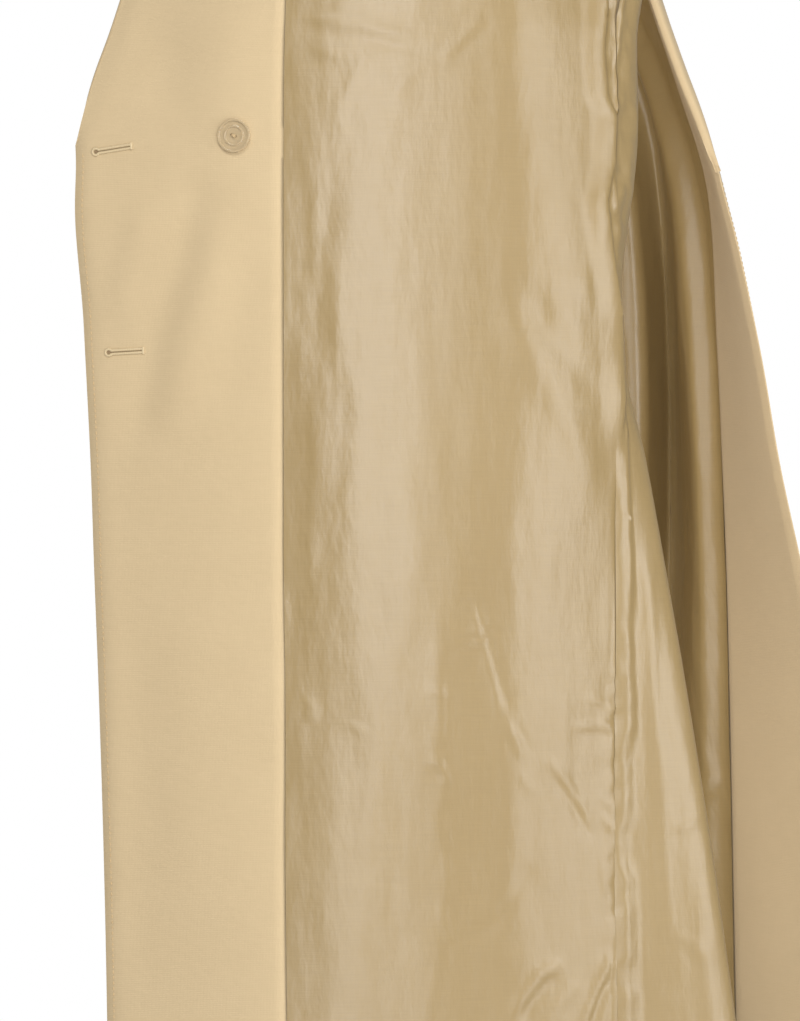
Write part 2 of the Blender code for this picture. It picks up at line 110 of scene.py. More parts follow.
BACK = (
    Back((-197, 1, -47), (-170, 1, -35), (-142, 1, -24), (-114, 1, -12),
         (-86, 4, 0), (0, 56, -14), (86, 4, 0), (142, 3, -24), (197, 2, -47)),
    Back((-194, 22, -64), (-174, 30, -60), (-150, 38, -54), (-126, 45, -46),
         (-102, 52, -40), (0, 86, -46), (102, 52, -40), (150, 38, -54), (194, 22, -64)),
    Back((-186, 50, -112), (-174, 60, -112), (-160, 69, -111), (-146, 77, -110),
         (-130, 84, -110), (0, 108, -112), (130, 84, -110), (160, 69, -111), (187, 50, -112)),
    Back((-181, 46, -182), (-176, 58, -182), (-166, 70, -182), (-154, 81, -182),
         (-138, 91, -182), (0, 114, -182), (138, 91, -182), (164, 72, -182), (185, 46, -182)),
    Back((-197, -26, -230), (-184, 0, -230), (-174, 30, -230), (-164, 62, -230),
         (-138, 92, -230), (0, 114, -230), (138, 91, -230), (169, 60, -230), (187, 15, -230)),
    level(Back, -250, (-215, -70), (-196, -84), (-178, -72), (-172, 2), (-138, 91), (0, 113), (138, 90), (177, 47),
          (188, 0)),
    level(Back, -305, (-215, -70), (-194, -84), (-172, -74), (-171, 2), (-138, 91), (0, 113), (138, 90), (177, 47),
          (188, 0)),
    level(Back, BREAK_Z, (-215, -70), (-192, -84), (-166, -74), (-171, 3), (-139, 92), (0, 115), (139, 90), (177, 47),
          (188, 0)),
    level(Back, -480, (-215, -70), (-193, -73), (-166, -62), (-172, 4), (-142, 96), (0, 120), (143, 94), (180, 49),
          (191, 0)),
    level(Back, -560, (-215, -70), (-189, -90), (-160, -70), (-174, 6), (-146, 102), (0, 126), (147, 99), (184, 51),
          (195, 0)),
    level(Back, -620, (-215, -70), (-187, -101), (-157, -72), (-176, 8), (-150, 106), (2, 130), (150, 103), (188, 54),
          (199, 0)),
    level(Back, -700, (-215, -70), (-185, -115), (-154, -76), (-180, 10), (-156, 112), (-4, 140), (154, 108),
          (193, 57), (204, 1)),
    level(Back, -800, (-215, -70), (-183, -131), (-151, -82), (-184, 12), (-164, 118), (-10, 154), (160, 114),
          (200, 60), (211, 2)),
    level(Back, -900, (-215, -71), (-180, -145), (-148, -88), (-188, 14), (-172, 124), (-16, 168), (168, 120),
          (208, 64), (219, 3)),
    level(Back, HEM_Z, (-216, -72), (-176, -168), (-143, -96), (-194, 16), (-184, 134), (-24, 188), (180, 130),
          (221, 70), (232, 5)),
)

LEFT_FRONT = (
    LeftFront((197, -2, -47), (176, -2, -38), (155, -2, -29), (134, -2, -20), (112, -2, -11), (88, -3, -1)),
    LeftFront((195, -16, -64), (178, -22, -60), (158, -30, -56), (136, -38, -52), (110, -44, -48), (73, -48, -45)),
    LeftFront((188, -42, -112), (176, -52, -112), (160, -60, -112), (138, -70, -112), (104, -80, -112),
              (49, -86, -112)),
    LeftFront((185, -44, -182), (178, -58, -182), (166, -72, -182), (145, -86, -182), (98, -95, -182), (23, -95, -182)),
    LeftFront((187, -16, -230), (178, -58, -230), (168, -82, -230), (148, -99, -230), (95, -108, -230),
              (8, -101, -230)),
    level(LeftFront, -250, (188, 0), (176, -68), (170, -90), (150, -102), (94, -114), (2, -106)),
    level(LeftFront, -305, (188, 0), (171, -88), (174, -112), (140, -123), (92, -132), (-10, -124)),
    level(LeftFront, BREAK_Z, (188, 0), (165, -101), (182, -122), (134, -137), (92, -151), (-20, -149)),
    level(LeftFront, -480, (191, 0), (160, -107), (190, -129), (129, -144), (92, -158), (-22, -174)),
    level(LeftFront, -560, (195, 0), (160, -107), (193, -130), (127, -148), (92, -161), (-22, -188)),
    level(LeftFront, -620, (199, 0), (162, -105), (193, -130), (127, -149), (92, -163), (-22, -201)),
    level(LeftFront, -700, (204, 1), (167, -101), (190, -127), (127, -147), (92, -165), (-22, -219)),
    level(LeftFront, -800, (211, 2), (174, -97), (186, -124), (128, -146), (92, -167), (-22, -238)),
    level(LeftFront, -900, (219, 3), (182, -94), (184, -122), (130, -147), (93, -169), (-20, -254)),
    level(LeftFront, HEM_Z, (232, 5), (194, -90), (184, -120), (134, -150), (96, -173), (-18, -275)),
)

# How closely the cloths are sampled (mm between points of a mesh), in each stretch between stations.
ROW_GAP = 2.6
RIGHT_GAPS = (3.6, 2.6, 2.2)
BACK_GAPS = (2.4, 3.2, 5.5, 7, 7, 7, 7, 7)
LEFT_GAPS = (5, 3.4, 2.6, 1.7, 5)
SHELL_ROW_GAP = 5.0
SHELL_GAPS = {"right": (5,) * 3, "back": (5,) * 8, "left": (5,) * 5}
FINE_GAPS = {"right": RIGHT_GAPS, "back": BACK_GAPS, "left": LEFT_GAPS}

# Folds and creases are placed by (y, z) on the cloth, as the camera sees it from the side (mm). Heights are
# towards the wearer's side of the cloth, so they rise out of the lining.
Fold = namedtuple("Fold", "path width height")
Crease = namedtuple("Crease", "path width height")

# The lining of the right front, at a few heights: how far it stands off the shell at each of its long soft folds.
# It bridges the bend of the shell above, and below it dips into a trough between a brow and a swell.
Relief = namedtuple("Relief", "z tuck ease bay brow foot floor climb swell shoulder slope side")
RIGHT_RELIEF = (
    Relief(-100, (124, 0.6), (96, 1.1), (62, 1.2), (42, 1.2), (31, 1.4), (21, 1.6), (8, 2.0), (-6, 2.4), (-26, 2.4),
           (-46, 2.0), (-66, 1.2)),
    Relief(-290, (124, 0.6), (96, 1.1), (62, 1.2), (42, 1.6), (30, 2.6), (18, 4.0), (6, 5.6), (-6, 7.2), (-26, 5.6),
           (-46, 3.4), (-66, 1.2)),
    Relief(-350, (124, 0.6), (98, 1.1), (62, 1.2), (44, 1.3), (30, 2.3), (18, 3.7), (6, 5.2), (-6, 6.8), (-26, 5.6),
           (-46, 3.6), (-66, 1.4)),
    Relief(-410, (124, 0.6), (98, 1.1), (64, 1.2), (46, 0.9), (34, 1.4), (22, 2.2), (8, 3.6), (-8, 5.6), (-26, 5.9),
           (-44, 5.0), (-66, 2.0)),
    Relief(-470, (124, 0.5), (100, 1.1), (64, 1.2), (46, 0.9), (34, 1.3), (22, 2.0), (8, 3.2), (-8, 5.0), (-30, 5.6),
           (-48, 5.0), (-66, 1.8)),
    Relief(-540, (124, 0.5), (100, 1.1), (64, 1.2), (44, 0.9), (32, 1.2), (20, 1.8), (6, 2.8), (-8, 4.2), (-30, 4.6),
           (-46, 3.9), (-66, 1.4)),
    Relief(-600, (124, 0.5), (100, 1.1), (64, 1.2), (40, 1.1), (28, 1.4), (18, 1.5), (6, 2.0), (-6, 3.0), (-30, 3.2),
           (-46, 2.8), (-66, 1.3)),
    Relief(-640, (124, 0.5), (100, 1.1), (64, 1.2), (40, 1.4), (24, 1.6), (17, 1.2), (8, 1.2), (-4, 2.4), (-28, 2.7),
           (-44, 2.4), (-66, 1.2)),
    Relief(-690, (124, 0.5), (100, 1.1), (64, 1.2), (38, 1.6), (34, 1.4), (20, 0.8), (8, 0.8), (-1, 2.0), (-28, 2.6),
           (-44, 2.4), (-66, 1.2)),
    Relief(-760, (124, 0.5), (100, 1.1), (64, 1.2), (38, 1.7), (33, 1.3), (20, 0.6), (6, 0.9), (-7, 2.6), (-28, 2.7),
           (-44, 2.6), (-66, 1.2)),
    Relief(-890, (124, 0.5), (100, 1.1), (64, 1.2), (37, 1.7), (31, 1.3), (20, 0.6), (6, 0.9), (-8, 2.7), (-30, 2.8),
           (-46, 2.6), (-66, 1.2)),
    Relief(-1060, (124, 0.5), (100, 1.1), (64, 1.2), (42, 1.5), (34, 1.2), (22, 0.6), (8, 0.9), (-8, 2.4), (-32, 2.5),
           (-48, 2.2), (-66, 1.2)),
)

# The curling edge of the brow, where the trough starts.
BROW = ((34, -600), (35, -640), (35, -698), (34, -718), (37, -727), (32, -754), (37, -770), (30, -797), (35, -853),
        (42, -889), (40, -1060))
BROW_HEIGHT = 0.75

# Crisp creases of the right lining, and the drag lines at its top.
RIGHT_CREASES = (
    Crease(((22, -630), (12, -660), (4, -690), (-2, -713)), 2.0, 0.6),
    Crease(((17, -632), (8, -660), (0, -690), (-6, -712)), 3.0, -0.7),
    Crease(((-2, -712), (-8, -722), (-14, -735)), 2.2, 1.0),
    Crease(((-7, -712), (-12, -722), (-17, -734)), 2.8, -0.6),
    Crease(((-11, -741), (-15, -750), (-20, -758)), 1.4, 0.6),
    Crease(((34, -673), (16, -662), (-1, -652)), 2.1, 0.6),
    Crease(((29, -675), (15, -668), (2, -660)), 1.7, 0.8),
    Crease(((32, -674), (16, -665), (0, -656)), 1.6, -0.8),
    Crease(((-24, -732), (-36, -747), (-48, -764), (-57, -784)), 2.8, 0.9),
    Crease(((-27, -740), (-38, -756), (-49, -772), (-56, -787)), 2.8, -1.0),
    Crease(((88, -713), (77, -720)), 1.8, 0.5),
    Crease(((112, -696), (108, -706), (110, -714)), 2.0, 0.7),
    Crease(((42, -697), (36, -694), (30, -700)), 3.0, 0.8),
    Crease(((41, -732), (33, -742), (28, -752)), 2.8, 0.8),
    Crease(((40, -738), (34, -748)), 2.0, -0.8),
    Crease(((36, -815), (32, -830), (28, -846)), 2.0, 0.7),
    Crease(((22, -842), (4, -834), (-12, -812), (-18, -795)), 3.8, -0.7),
    Crease(((-6, -892), (-13, -878), (-24, -864), (-40, -856)), 3.2, 1.3),
    Crease(((-10, -897), (-17, -884), (-27, -872), (-40, -866)), 3.2, -1.0),
    Crease(((-24, -900), (-34, -884), (-50, -868)), 3.8, 0.7),
    Crease(((-48, -905), (-55, -884), (-64, -864), (-70, -850)), 2.8, 1.3),
    Crease(((-53, -905), (-59, -886), (-68, -866)), 2.5, -1.0),
    Crease(((-58, -905), (-64, -886), (-70, -872)), 2.5, 0.8),
    Crease(((-41, -721), (-55, -722), (-70, -724)), 2.2, -0.6),
    Crease(((-42, -718), (-55, -718), (-69, -720)), 2.0, 0.8),
    Crease(((-49, -700), (-60, -703), (-70, -709)), 1.8, 0.7),
    Crease(((-59, -712), (-70, -722)), 1.8, 0.8),
    Crease(((-58, -757), (-70, -767)), 2.2, 0.6),
    Crease(((-60, -770), (-70, -782)), 1.8, 0.7),
    Crease(((-62, -790), (-64, -820)), 2.2, 0.6),
    Crease(((116, -301), (90, -303), (46, -312)), 3.0, 0.6),
    Crease(((112, -309), (84, -312), (44, -320)), 3.0, -0.5),
    Crease(((110, -319), (92, -323), (69, -323)), 3.0, 0.5),
    Crease(((36, -327), (24, -313), (10, -297)), 2.8, 0.8),
    Crease(((30, -330), (18, -316), (4, -300)), 2.8, -0.6),
    Crease(((96, -360), (84, -338), (76, -318)), 3.0, 0.5),
    Crease(((70, -352), (52, -336), (40, -320)), 3.0, 0.4),
)
RIGHT_FOLDS = (
    Fold(((114, -392), (112, -430), (115, -462)), 5, -0.35),
    Fold(((98, -398), (101, -430), (106, -470), (104, -510)), 5, -0.5),
    Fold(((92, -440), (95, -470), (91, -500)), 4, 0.35),
    Fold(((93, -500), (90, -540), (94, -590)), 5, -0.35),
    Fold(((108, -520), (106, -570), (110, -640)), 4, 0.3),
    Fold(((-10, -450), (-29, -482), (-44, -502), (-57, -526)), 8, -1.0),
    Fold(((4, -452), (-20, -500), (-46, -548), (-58, -590)), 9, 0.9),
    Fold(((-44, -440), (-56, -470), (-64, -505)), 6, 0.6),
    Fold(((60, -560), (52, -610), (56, -680)), 8, 0.4),
    Fold(((74, -640), (70, -720), (76, -860)), 9, 0.35),
    Fold(((58, -740), (62, -800), (54, -900)), 6, -0.3),
)

# Side seam of the lining. The front lining rolls over it as far as the lip, and an ease pleat lies beside it.
LIP = ((-65, -250), (-64, -290), (-62, -313), (-64, -341), (-69, -352), (-68, -382), (-63, -405), (-68, -445),
       (-72, -479), (-74, -502), (-74, -525), (-73, -545))
LIP_HEIGHT = 3.4
SEAM_RIDGE = ((-76, -270), (-72, -300), (-70, -329), (-69, -382), (-69, -410))
STITCH_LINE = ((-71, -540), (-70, -583), (-69, -679), (-70, -724), (-71, -781), (-70, -836), (-68, -877),
               (-68, -1040))
PLEAT_EDGE = ((-75, -505), (-77, -540), (-79, -583), (-81, -682), (-80, -730), (-79, -760), (-76, -790), (-79, -815),
              (-82, -837), (-83, -867), (-81, -895), (-80, -960), (-80, -1060))
PLEAT_HEIGHT = 3.0

# Long soft folds of the back lining where it hangs forward beside the seam, and small creases on it.
FLUTE_FOLDS = (
    Fold(((-88, -590), (-92, -660), (-100, -760), (-106, -900)), 5, 1.1),
    Fold(((-84, -610), (-87, -680), (-90, -760), (-93, -900)), 4, -1.0),
    Fold(((-97, -640), (-104, -720), (-116, -800), (-128, -900)), 5, -0.9),
    Fold(((-100, -700), (-112, -780), (-126, -860), (-138, -960)), 5, 0.9),
    Fold(((-90, -800), (-98, -850), (-100, -900)), 5, -1.4),
)
FLUTE_CREASES = (
    Crease(((-92, -628), (-104, -630)), 1.6, 0.4),
    Crease(((-86, -722), (-95, -726)), 2.0, 0.9),
    Crease(((-106, -782), (-122, -778)), 2.2, 1.0),
    Crease(((-108, -788), (-124, -784)), 2.2, -0.8),
    Crease(((-88, -778), (-92, -796)), 2.0, -1.0),
    Crease(((-112, -842), (-128, -862)), 2.4, 0.9),
    Crease(((-96, -868), (-104, -890)), 3.0, 1.2),
)
# The lining of the left front hangs in a rounded crest before its facing, and a lesser ridge before the valley.
# The crest's place is counted in stations from the side seam.
InnerFold = namedtuple("InnerFold", "z ridge crest place")
LEFT_RELIEF = (InnerFold(-60, 0, 0, 3.2), InnerFold(-200, 1, 4, 3.0), InnerFold(-290, 2, 9, 3.0),
               InnerFold(-330, 3, 11, 3.1), InnerFold(-400, 4, 12, 3.3), InnerFold(-480, 5, 12, 3.45),
               InnerFold(-620, 5, 10, 3.5), InnerFold(-700, 5, 9, 3.5), InnerFold(-820, 4, 7, 3.5),
               InnerFold(-1060, 3, 5, 3.5))
LEFT_CREASES = (
    Crease(((-103, -249), (-111, -260), (-113, -268), (-109, -274)), 1.8, -1.3),
    Crease(((-120, -330), (-122, -345)), 1.6, -0.7),
    Crease(((-148, -784), (-161, -766)), 1.6, 0.9),
    Crease(((-150, -790), (-163, -772)), 1.6, -0.8),
    Crease(((-170, -622), (-188, -603), (-206, -584)), 1.0, -0.9),
    Crease(((-203, -588), (-206, -578)), 2.0, 0.8),
)
FACING_FOLDS = (
    Fold(((186, -384), (176, -404), (184, -440), (199, -482), (208, -525), (214, -570)), 11, -1.7),
    Fold(((160, -400), (168, -450), (182, -500), (192, -560)), 13, 1.3),
    Fold(((204, -398), (214, -440), (226, -485)), 9, 1.0),
    Fold(((146, -430), (150, -480), (160, -540)), 12, -0.8),
    Fold(((176, -610), (186, -700), (176, -840)), 24, 0.8),
    Fold(((212, -640), (206, -740), (210, -900)), 18, -0.6),
    Fold(((206, -290), (192, -325), (200, -358)), 14, -0.9),
    Fold(((160, -290), (156, -330), (164, -380)), 18, 0.9),
)


# ---------------------------------------------------------------- curves and grids

def unit(vectors):
    """The vectors, each brought to length 1."""
    return vectors / np.linalg.norm(vectors, axis=-1, keepdims=True)


def sampled(points, steps, before=None, after=None):
    """Points on the smooth curve through points, with steps[i] parts between neighbours (Catmull-Rom)."""
    points = np.asarray(points, float)
    first = 2 * points[0] - points[1] if before is None else np.asarray(before, float)
    last = 2 * points[-1] - points[-2] if after is None else np.asarray(after, float)
    full = np.concatenate([first[None], points, last[None]])
    chord = np.sqrt(np.linalg.norm(np.diff(full, axis=0), axis=-1, keepdims=True)) + 1e-6
    found = []
    for i, parts in enumerate(steps):
        p0, p1, p2, p3 = full[i : i + 4]
        d0, d1, d2 = chord[i : i + 3]
        m1 = d1 * ((p1 - p0) / d0 - (p2 - p0) / (d0 + d1) + (p2 - p1) / d1)
        m2 = d1 * ((p2 - p1) / d1 - (p3 - p1) / (d1 + d2) + (p3 - p2) / d2)
        for k in range(parts):
            t = k / parts
            found.append((2 * t**3 - 3 * t**2 + 1) * p1 + (t**3 - 2 * t**2 + t) * m1
                         + (3 * t**2 - 2 * t**3) * p2 + (t**3 - t**2) * m2)
    return np.array(found + [points[-1]])


def smooth_step(value, low, high):
    """0 below low, 1 above high, and a soft rise between them."""
    t = np.clip((np.asarray(value, float) - low) / (high - low), 0, 1)
    return t * t * (3 - 2 * t)


def row_parts(table, row_gap):
    """How many rows fill each gap of a table. Below the underarm the count is the same in every panel."""
    stations = np.array(table, float)
    first_low = [row[0][2] for row in table].index(UNDERARM_Z)
    lengths = np.linalg.norm(np.diff(stations, axis=0), axis=-1).mean(axis=1)
    heights = -np.diff(stations[:, 0, 2])
    return [max(1, round((length if i < first_low else height) / row_gap))
            for i, (length, height) in enumerate(zip(lengths, heights))]


def column_parts(rows, gaps):
    """How many columns fill each stretch between stations."""
    lengths = np.linalg.norm(np.diff(rows, axis=1), axis=-1).mean(axis=0)
    return [max(2, round(length / gap)) for length, gap in zip(lengths, gaps)]


def low_rows(rows):
    """How many rows of a panel lie at or below the underarm."""
    return int(np.sum(rows[:, 0, 2] <= UNDERARM_Z + 0.5))


def beyond_seam(rows, own, inner, other_rows, other):
    """What a panel's lines run on to: their own run-out above the underarm, the neighbour's station below."""
    found = 2 * rows[:, own] - rows[:, inner]
    low = low_rows(rows)
    joined = smooth_step(-rows[-low:, own, 2], -UNDERARM_Z, -RUN_IN_Z)[:, None]
    found[-low:] = (1 - joined) * found[-low:] + joined * other_rows[-low:, other]
    return found


def outward(grid):
    """Unit normals on the outer side of a grid: rows go down, columns from the wearer's right edge round."""
    return unit(np.cross(np.gradient(grid, axis=1), np.gradient(grid, axis=0)))


def share_normals(first, second, low):
    """One normal on both sides of a seam, in the lowest rows."""
    both = unit(first[-low:, -1] + second[-low:, 0])
    first[-low:, -1] = both
    second[-low:, 0] = both


Panel = namedtuple("Panel", "grid normals columns")


def cornered(rows, table, edge):
    """The free edge turns sharply at the break, where the lapel's roll starts."""
    stations = np.array([row[edge] for row in table], float)[::-1]
    z = rows[:, edge, 2]
    near = np.exp(-(((z - BREAK_Z) / 30) ** 2))
    for k in (0, 1):
        straight = np.interp(z, stations[:, 2], stations[:, k])
        rows[:, edge, k] += near * (straight - rows[:, edge, k])


def build_panels(row_gap, gaps):
    """The three panels of the coat's body, as grids of points in the middle of the shell."""
    tables = {"right": RIGHT_FRONT, "back": BACK, "left": LEFT_FRONT}
    rows = {}
    for side, table in tables.items():
        rows[side] = sampled(np.array(table, float), row_parts(table, row_gap))
    right, back, left = rows["right"], rows["back"], rows["left"]
    cornered(right, RIGHT_FRONT, 0)
    cornered(left, LEFT_FRONT, 5)
    beyond = {"right": (None, beyond_seam(right, 3, 2, back, 1)),
              "back": (beyond_seam(back, 0, 1, right, 2), beyond_seam(back, 8, 7, left, 1)),
              "left": (beyond_seam(left, 0, 1, back, 7), None)}
    panels = {}
    for side, lines in rows.items():
        columns = column_parts(lines, gaps[side])
        grid = sampled(lines.transpose(1, 0, 2), columns, *beyond[side]).transpose(1, 0, 2)
        panels[side] = Panel(grid, outward(grid), np.concatenate([[0], np.cumsum(columns)]))
    share_normals(panels["right"].normals, panels["back"].normals, low_rows(right))
    share_normals(panels["back"].normals, panels["left"].normals, low_rows(right))
    return panels


def between(panel, first, last):
    """The columns of a panel from one station to another."""
    return slice(panel.columns[first], panel.columns[last] + 1)


def moved(panel, columns, distance):
    """Points of a panel moved outwards by a distance each."""
    return panel.grid[:, columns] + np.asarray(distance)[..., None] * panel.normals[:, columns]


def from_side(grid, first):
    """How far each point lies along its row from the first (or last) column."""
    steps = np.linalg.norm(np.diff(grid, axis=1), axis=2)
    along = np.concatenate([np.zeros((len(grid), 1)), np.cumsum(steps, axis=1)], axis=1)
    return along if first else along[:, -1:] - along


# ---------------------------------------------------------------- folds and creases

def soft_noise(u, v, size_u, size_v, seed):
    """Smooth random hills between -1 and 1, size_u by size_v apart."""
    lattice = np.random.RandomState(seed).uniform(-1, 1, (67, 71))
    x, y = u / size_u, v / size_v
    i, j = np.floor(x).astype(int), np.floor(y).astype(int)
    s, t = smooth_step(x - i, 0, 1), smooth_step(y - j, 0, 1)
    rows, columns = lattice.shape

    def at(a, b):
        return lattice[a % rows, b % columns]

    return ((1 - s) * (1 - t) * at(i, j) + s * (1 - t) * at(i + 1, j)
            + (1 - s) * t * at(i, j + 1) + s * t * at(i + 1, j + 1))


def near_path(y, z, path):
    """Distance of each point from a path, and how far along the path it is nearest (0 to 1)."""
    best = np.full(y.shape, 1e9)
    part = np.zeros(y.shape)
    for k, ((y0, z0), (y1, z1)) in enumerate(zip(path, path[1:])):
        length = (y1 - y0) ** 2 + (z1 - z0) ** 2
        t = np.clip(((y - y0) * (y1 - y0) + (z - z0) * (z1 - z0)) / length, 0, 1)
        distance = np.hypot(y - y0 - t * (y1 - y0), z - z0 - t * (z1 - z0))
        closer = distance < best
        best = np.where(closer, distance, best)
        part = np.where(closer, (k + t) / (len(path) - 1), part)
    return best, part


def folds_at(y, z, folds):
    """Soft folds: round across, and running out at both ends."""
    height = np.zeros(y.shape)
    for fold in folds:
        distance, part = near_path(y, z, fold.path)
        ends = smooth_step(part, 0, 0.25) * smooth_step(1 - part, 0, 0.25)
        height += fold.height * ends * np.exp(-((distance / fold.width) ** 2))
    return height


def creases_at(y, z, creases):
    """Crisp creases: pointed across, and running out at both ends."""
    height = np.zeros(y.shape)
    for crease in creases:
        distance, part = near_path(y, z, crease.path)
        ends = smooth_step(part, 0, 0.3) * smooth_step(1 - part, 0, 0.2)
        height += crease.height * ends * np.exp(-(distance / crease.width) ** 1.4)
    return height


def place_across(z, path):
    """The y of a path at each height."""
    ys = np.array([p[0] for p in path], float)
    zs = np.array([p[1] for p in path], float)
    order = np.argsort(zs)
    return np.interp(z, zs[order], ys[order])


def relief_at(y, z, table):
    """Heights between the named folds of a relief table, eased so that each fold is soft."""
    levels = np.array([row.z for row in table], float)
    order = np.argsort(levels)
    stations = np.array([row[1:] for row in table], float)[order]
    found = np.zeros(y.shape)
    for i in range(len(y)):
        height = float(np.mean(z[i]))
        places = [np.interp(height, levels[order], stations[:, k, 0]) for k in range(stations.shape[1])]
        heights = [np.interp(height, levels[order], stations[:, k, 1]) for k in range(stations.shape[1])]
        found[i] = np.interp(-y[i], -np.array(places), heights)
    return softened(found, 4)


def softened(values, reach):
    """Values along each row, averaged with their neighbours."""
    weights = np.hanning(2 * reach + 3)[1:-1]
    padded = np.pad(values, ((0, 0), (reach, reach)), mode="edge")
    return sum(w * padded[:, k : k + values.shape[1]] for k, w in enumerate(weights)) / weights.sum()


def right_lining_height(y, z):
    """How far the lining stands off beside the facing, over the right front and round its side seam."""
    height = relief_at(y, z, RIGHT_RELIEF) + folds_at(y, z, RIGHT_FOLDS) + creases_at(y, z, RIGHT_CREASES)
    height += 0.35 * soft_noise(y, z, 22, 90, 5) + 0.16 * soft_noise(y, z, 9, 34, 6)
    height += seam_height(y, z) + brow_height(y, z)
    return np.maximum(height, 0.0)


def brow_height(y, z):
    """A low ridge, gentle on its left and steep on its right."""
    left_of = y - place_across(z, BROW)
    across = np.where(left_of > 0, np.exp(-left_of / 7.0), np.exp(left_of / 1.6))
    return BROW_HEIGHT * across * smooth_step(-z, 620, 690)


def seam_height(y, z):
    """The rolled lip, the ridge of the seam, the puckers along it and the ease pleat beside it."""
    past_lip = place_across(z, LIP) - y
    upper = smooth_step(-z, 60, 120) * (1 - smooth_step(-z, 520, 560))
    roll = (1 - smooth_step(past_lip, -0.8, 1.0)) * smooth_step(past_lip, -16, -2)
    lip = LIP_HEIGHT * upper * roll * (1 + 0.25 * soft_noise(z, z, 13, 999, 8))
    distance, part = near_path(y, z, SEAM_RIDGE)
    ridge = 1.1 * np.exp(-((distance / 0.9) ** 2)) * smooth_step(part, 0, 0.1)
    lower = smooth_step(-z, 505, 545)
    stitch = y - place_across(z, STITCH_LINE)
    groove = -0.8 * np.exp(-((stitch / 0.9) ** 2)) * smooth_step(-z, 560, 600)
    edge = place_across(z, PLEAT_EDGE) - y
    across = np.clip((place_across(z, STITCH_LINE) - y) / 10, 0, 1)
    pleat = PLEAT_HEIGHT * lower * across**0.8 * (1 - smooth_step(edge, -0.5, 1.1))
    calmer = 1 - 0.5 * smooth_step(-z, 860, 920)
    pucker = np.exp(-np.abs(stitch + 1) / 7.0) * smooth_step(-z, 650, 720) * calmer
    ripples = 0.95 * pucker * soft_noise(z + 0.5 * y, y, 5.5, 14, 9)
    scallop = 1.1 * lower * across * (1 - smooth_step(edge, -0.5, 1.1)) * soft_noise(z, y, 9, 30, 10)
    recess = upper * smooth_step(past_lip, 0.5, 3) * (1 - smooth_step(past_lip, 15, 20))
    crumple = recess * (1.1 * soft_noise(z + 0.7 * y, y, 11, 6, 12)
                        + 0.6 * soft_noise(z - 0.5 * y, y, 6, 5, 13))
    return lip + ridge + groove + pleat + ripples + scallop + crumple


def left_lining_height(panel, columns):
    """The ridge and the crest of the left lining, placed between the panel's stations."""
    grid = panel.grid[:, columns]
    z = grid[..., 2]
    levels = np.array(LEFT_RELIEF, float)[::-1]
    every_column = np.arange(panel.columns[-1] + 1)
    station = np.interp(every_column, panel.columns, range(len(panel.columns)))[columns][None, :]
    ridge = np.interp(z, levels[:, 0], levels[:, 1]) * np.exp(-(((station - 1) / 0.13) ** 2))
    place = np.interp(z, levels[:, 0], levels[:, 3])
    past = station - place
    rise = smooth_step((station - 2.2) / (place - 2.2), 0, 1)
    falling = 1 - smooth_step(past, 0, 0.45)
    crest = np.interp(z, levels[:, 0], levels[:, 2]) * rise * falling
    u, v = from_side(grid, True), z
    wrinkles = 0.5 * soft_noise(u, v, 14, 110, 41) + 0.25 * soft_noise(u + 0.3 * v, v, 8, 40, 42)
    return np.maximum(ridge + crest + creases_at(grid[..., 1], z, LEFT_CREASES) + wrinkles + 0.3, 0)


def before_flute(panel, columns):
    """1 where the camera sees the back lining beside the seam, falling to 0 at the fold of the flute."""
    bend = panel.columns[1]
    found = np.zeros(panel.grid.shape[1])
    found[: bend + 1] = 1 - smooth_step(np.arange(bend + 1) / bend, 0.82, 1.0)
    return found[columns][None, :]


# ---------------------------------------------------------------- meshes

def mesh_piece(name, points, faces, materials, face_materials=None, uvs=None):
    mesh = bpy.data.meshes.new(name)
    mesh.from_pydata((points * MM).tolist(), [], faces)
    for material in materials:
        mesh.materials.append(material)
    if face_materials is not None:
        mesh.polygons.foreach_set("material_index", face_materials)
    if uvs is not None:
        layer = mesh.uv_layers.new(name="cloth")
        corners = np.zeros(len(mesh.loops), int)
        mesh.loops.foreach_get("vertex_index", corners)
        layer.data.foreach_set("uv", uvs[corners].ravel())
    mesh.shade_smooth()
    mesh.set_sharp_from_angle(angle=math.radians(60))
    obj = bpy.data.objects.new(name, mesh)
    bpy.context.scene.collection.objects.link(obj)
    return obj


def cloth_uvs(grid):
    """Metres across and down the cloth, for its weave."""
    across = np.linalg.norm(np.diff(grid, axis=1), axis=2)
    down = np.linalg.norm(np.diff(grid, axis=0), axis=2)
    u = np.zeros(grid.shape[:2])
    v = np.zeros(grid.shape[:2])
    u[:, 1:] = np.cumsum(across, axis=1)
    v[1:, :] = np.cumsum(down, axis=0).mean(axis=1, keepdims=True)
    return np.stack([u, v], axis=2).reshape(-1, 2) * MM


def grid_faces(rows, columns, closed=False, shift=0):
    """The quads of a grid of points, whose numbers start at shift."""
    wrap = columns if closed else columns - 1
    i, j = np.meshgrid(np.arange(rows - 1), np.arange(wrap), indexing="ij")
    following = (j + 1) % columns
    quads = np.stack([i * columns + j, i * columns + following, (i + 1) * columns + following,
                      (i + 1) * columns + j], axis=2)
    return quads.reshape(-1, 4) + shift


def sheet(name, points, material):
    """One open sheet of cloth on a grid of points, which faces the wearer."""
    rows, columns = points.shape[:2]
    faces = grid_faces(rows, columns)
    return mesh_piece(name, points.reshape(-1, 3), faces.tolist(), [material], uvs=cloth_uvs(points))


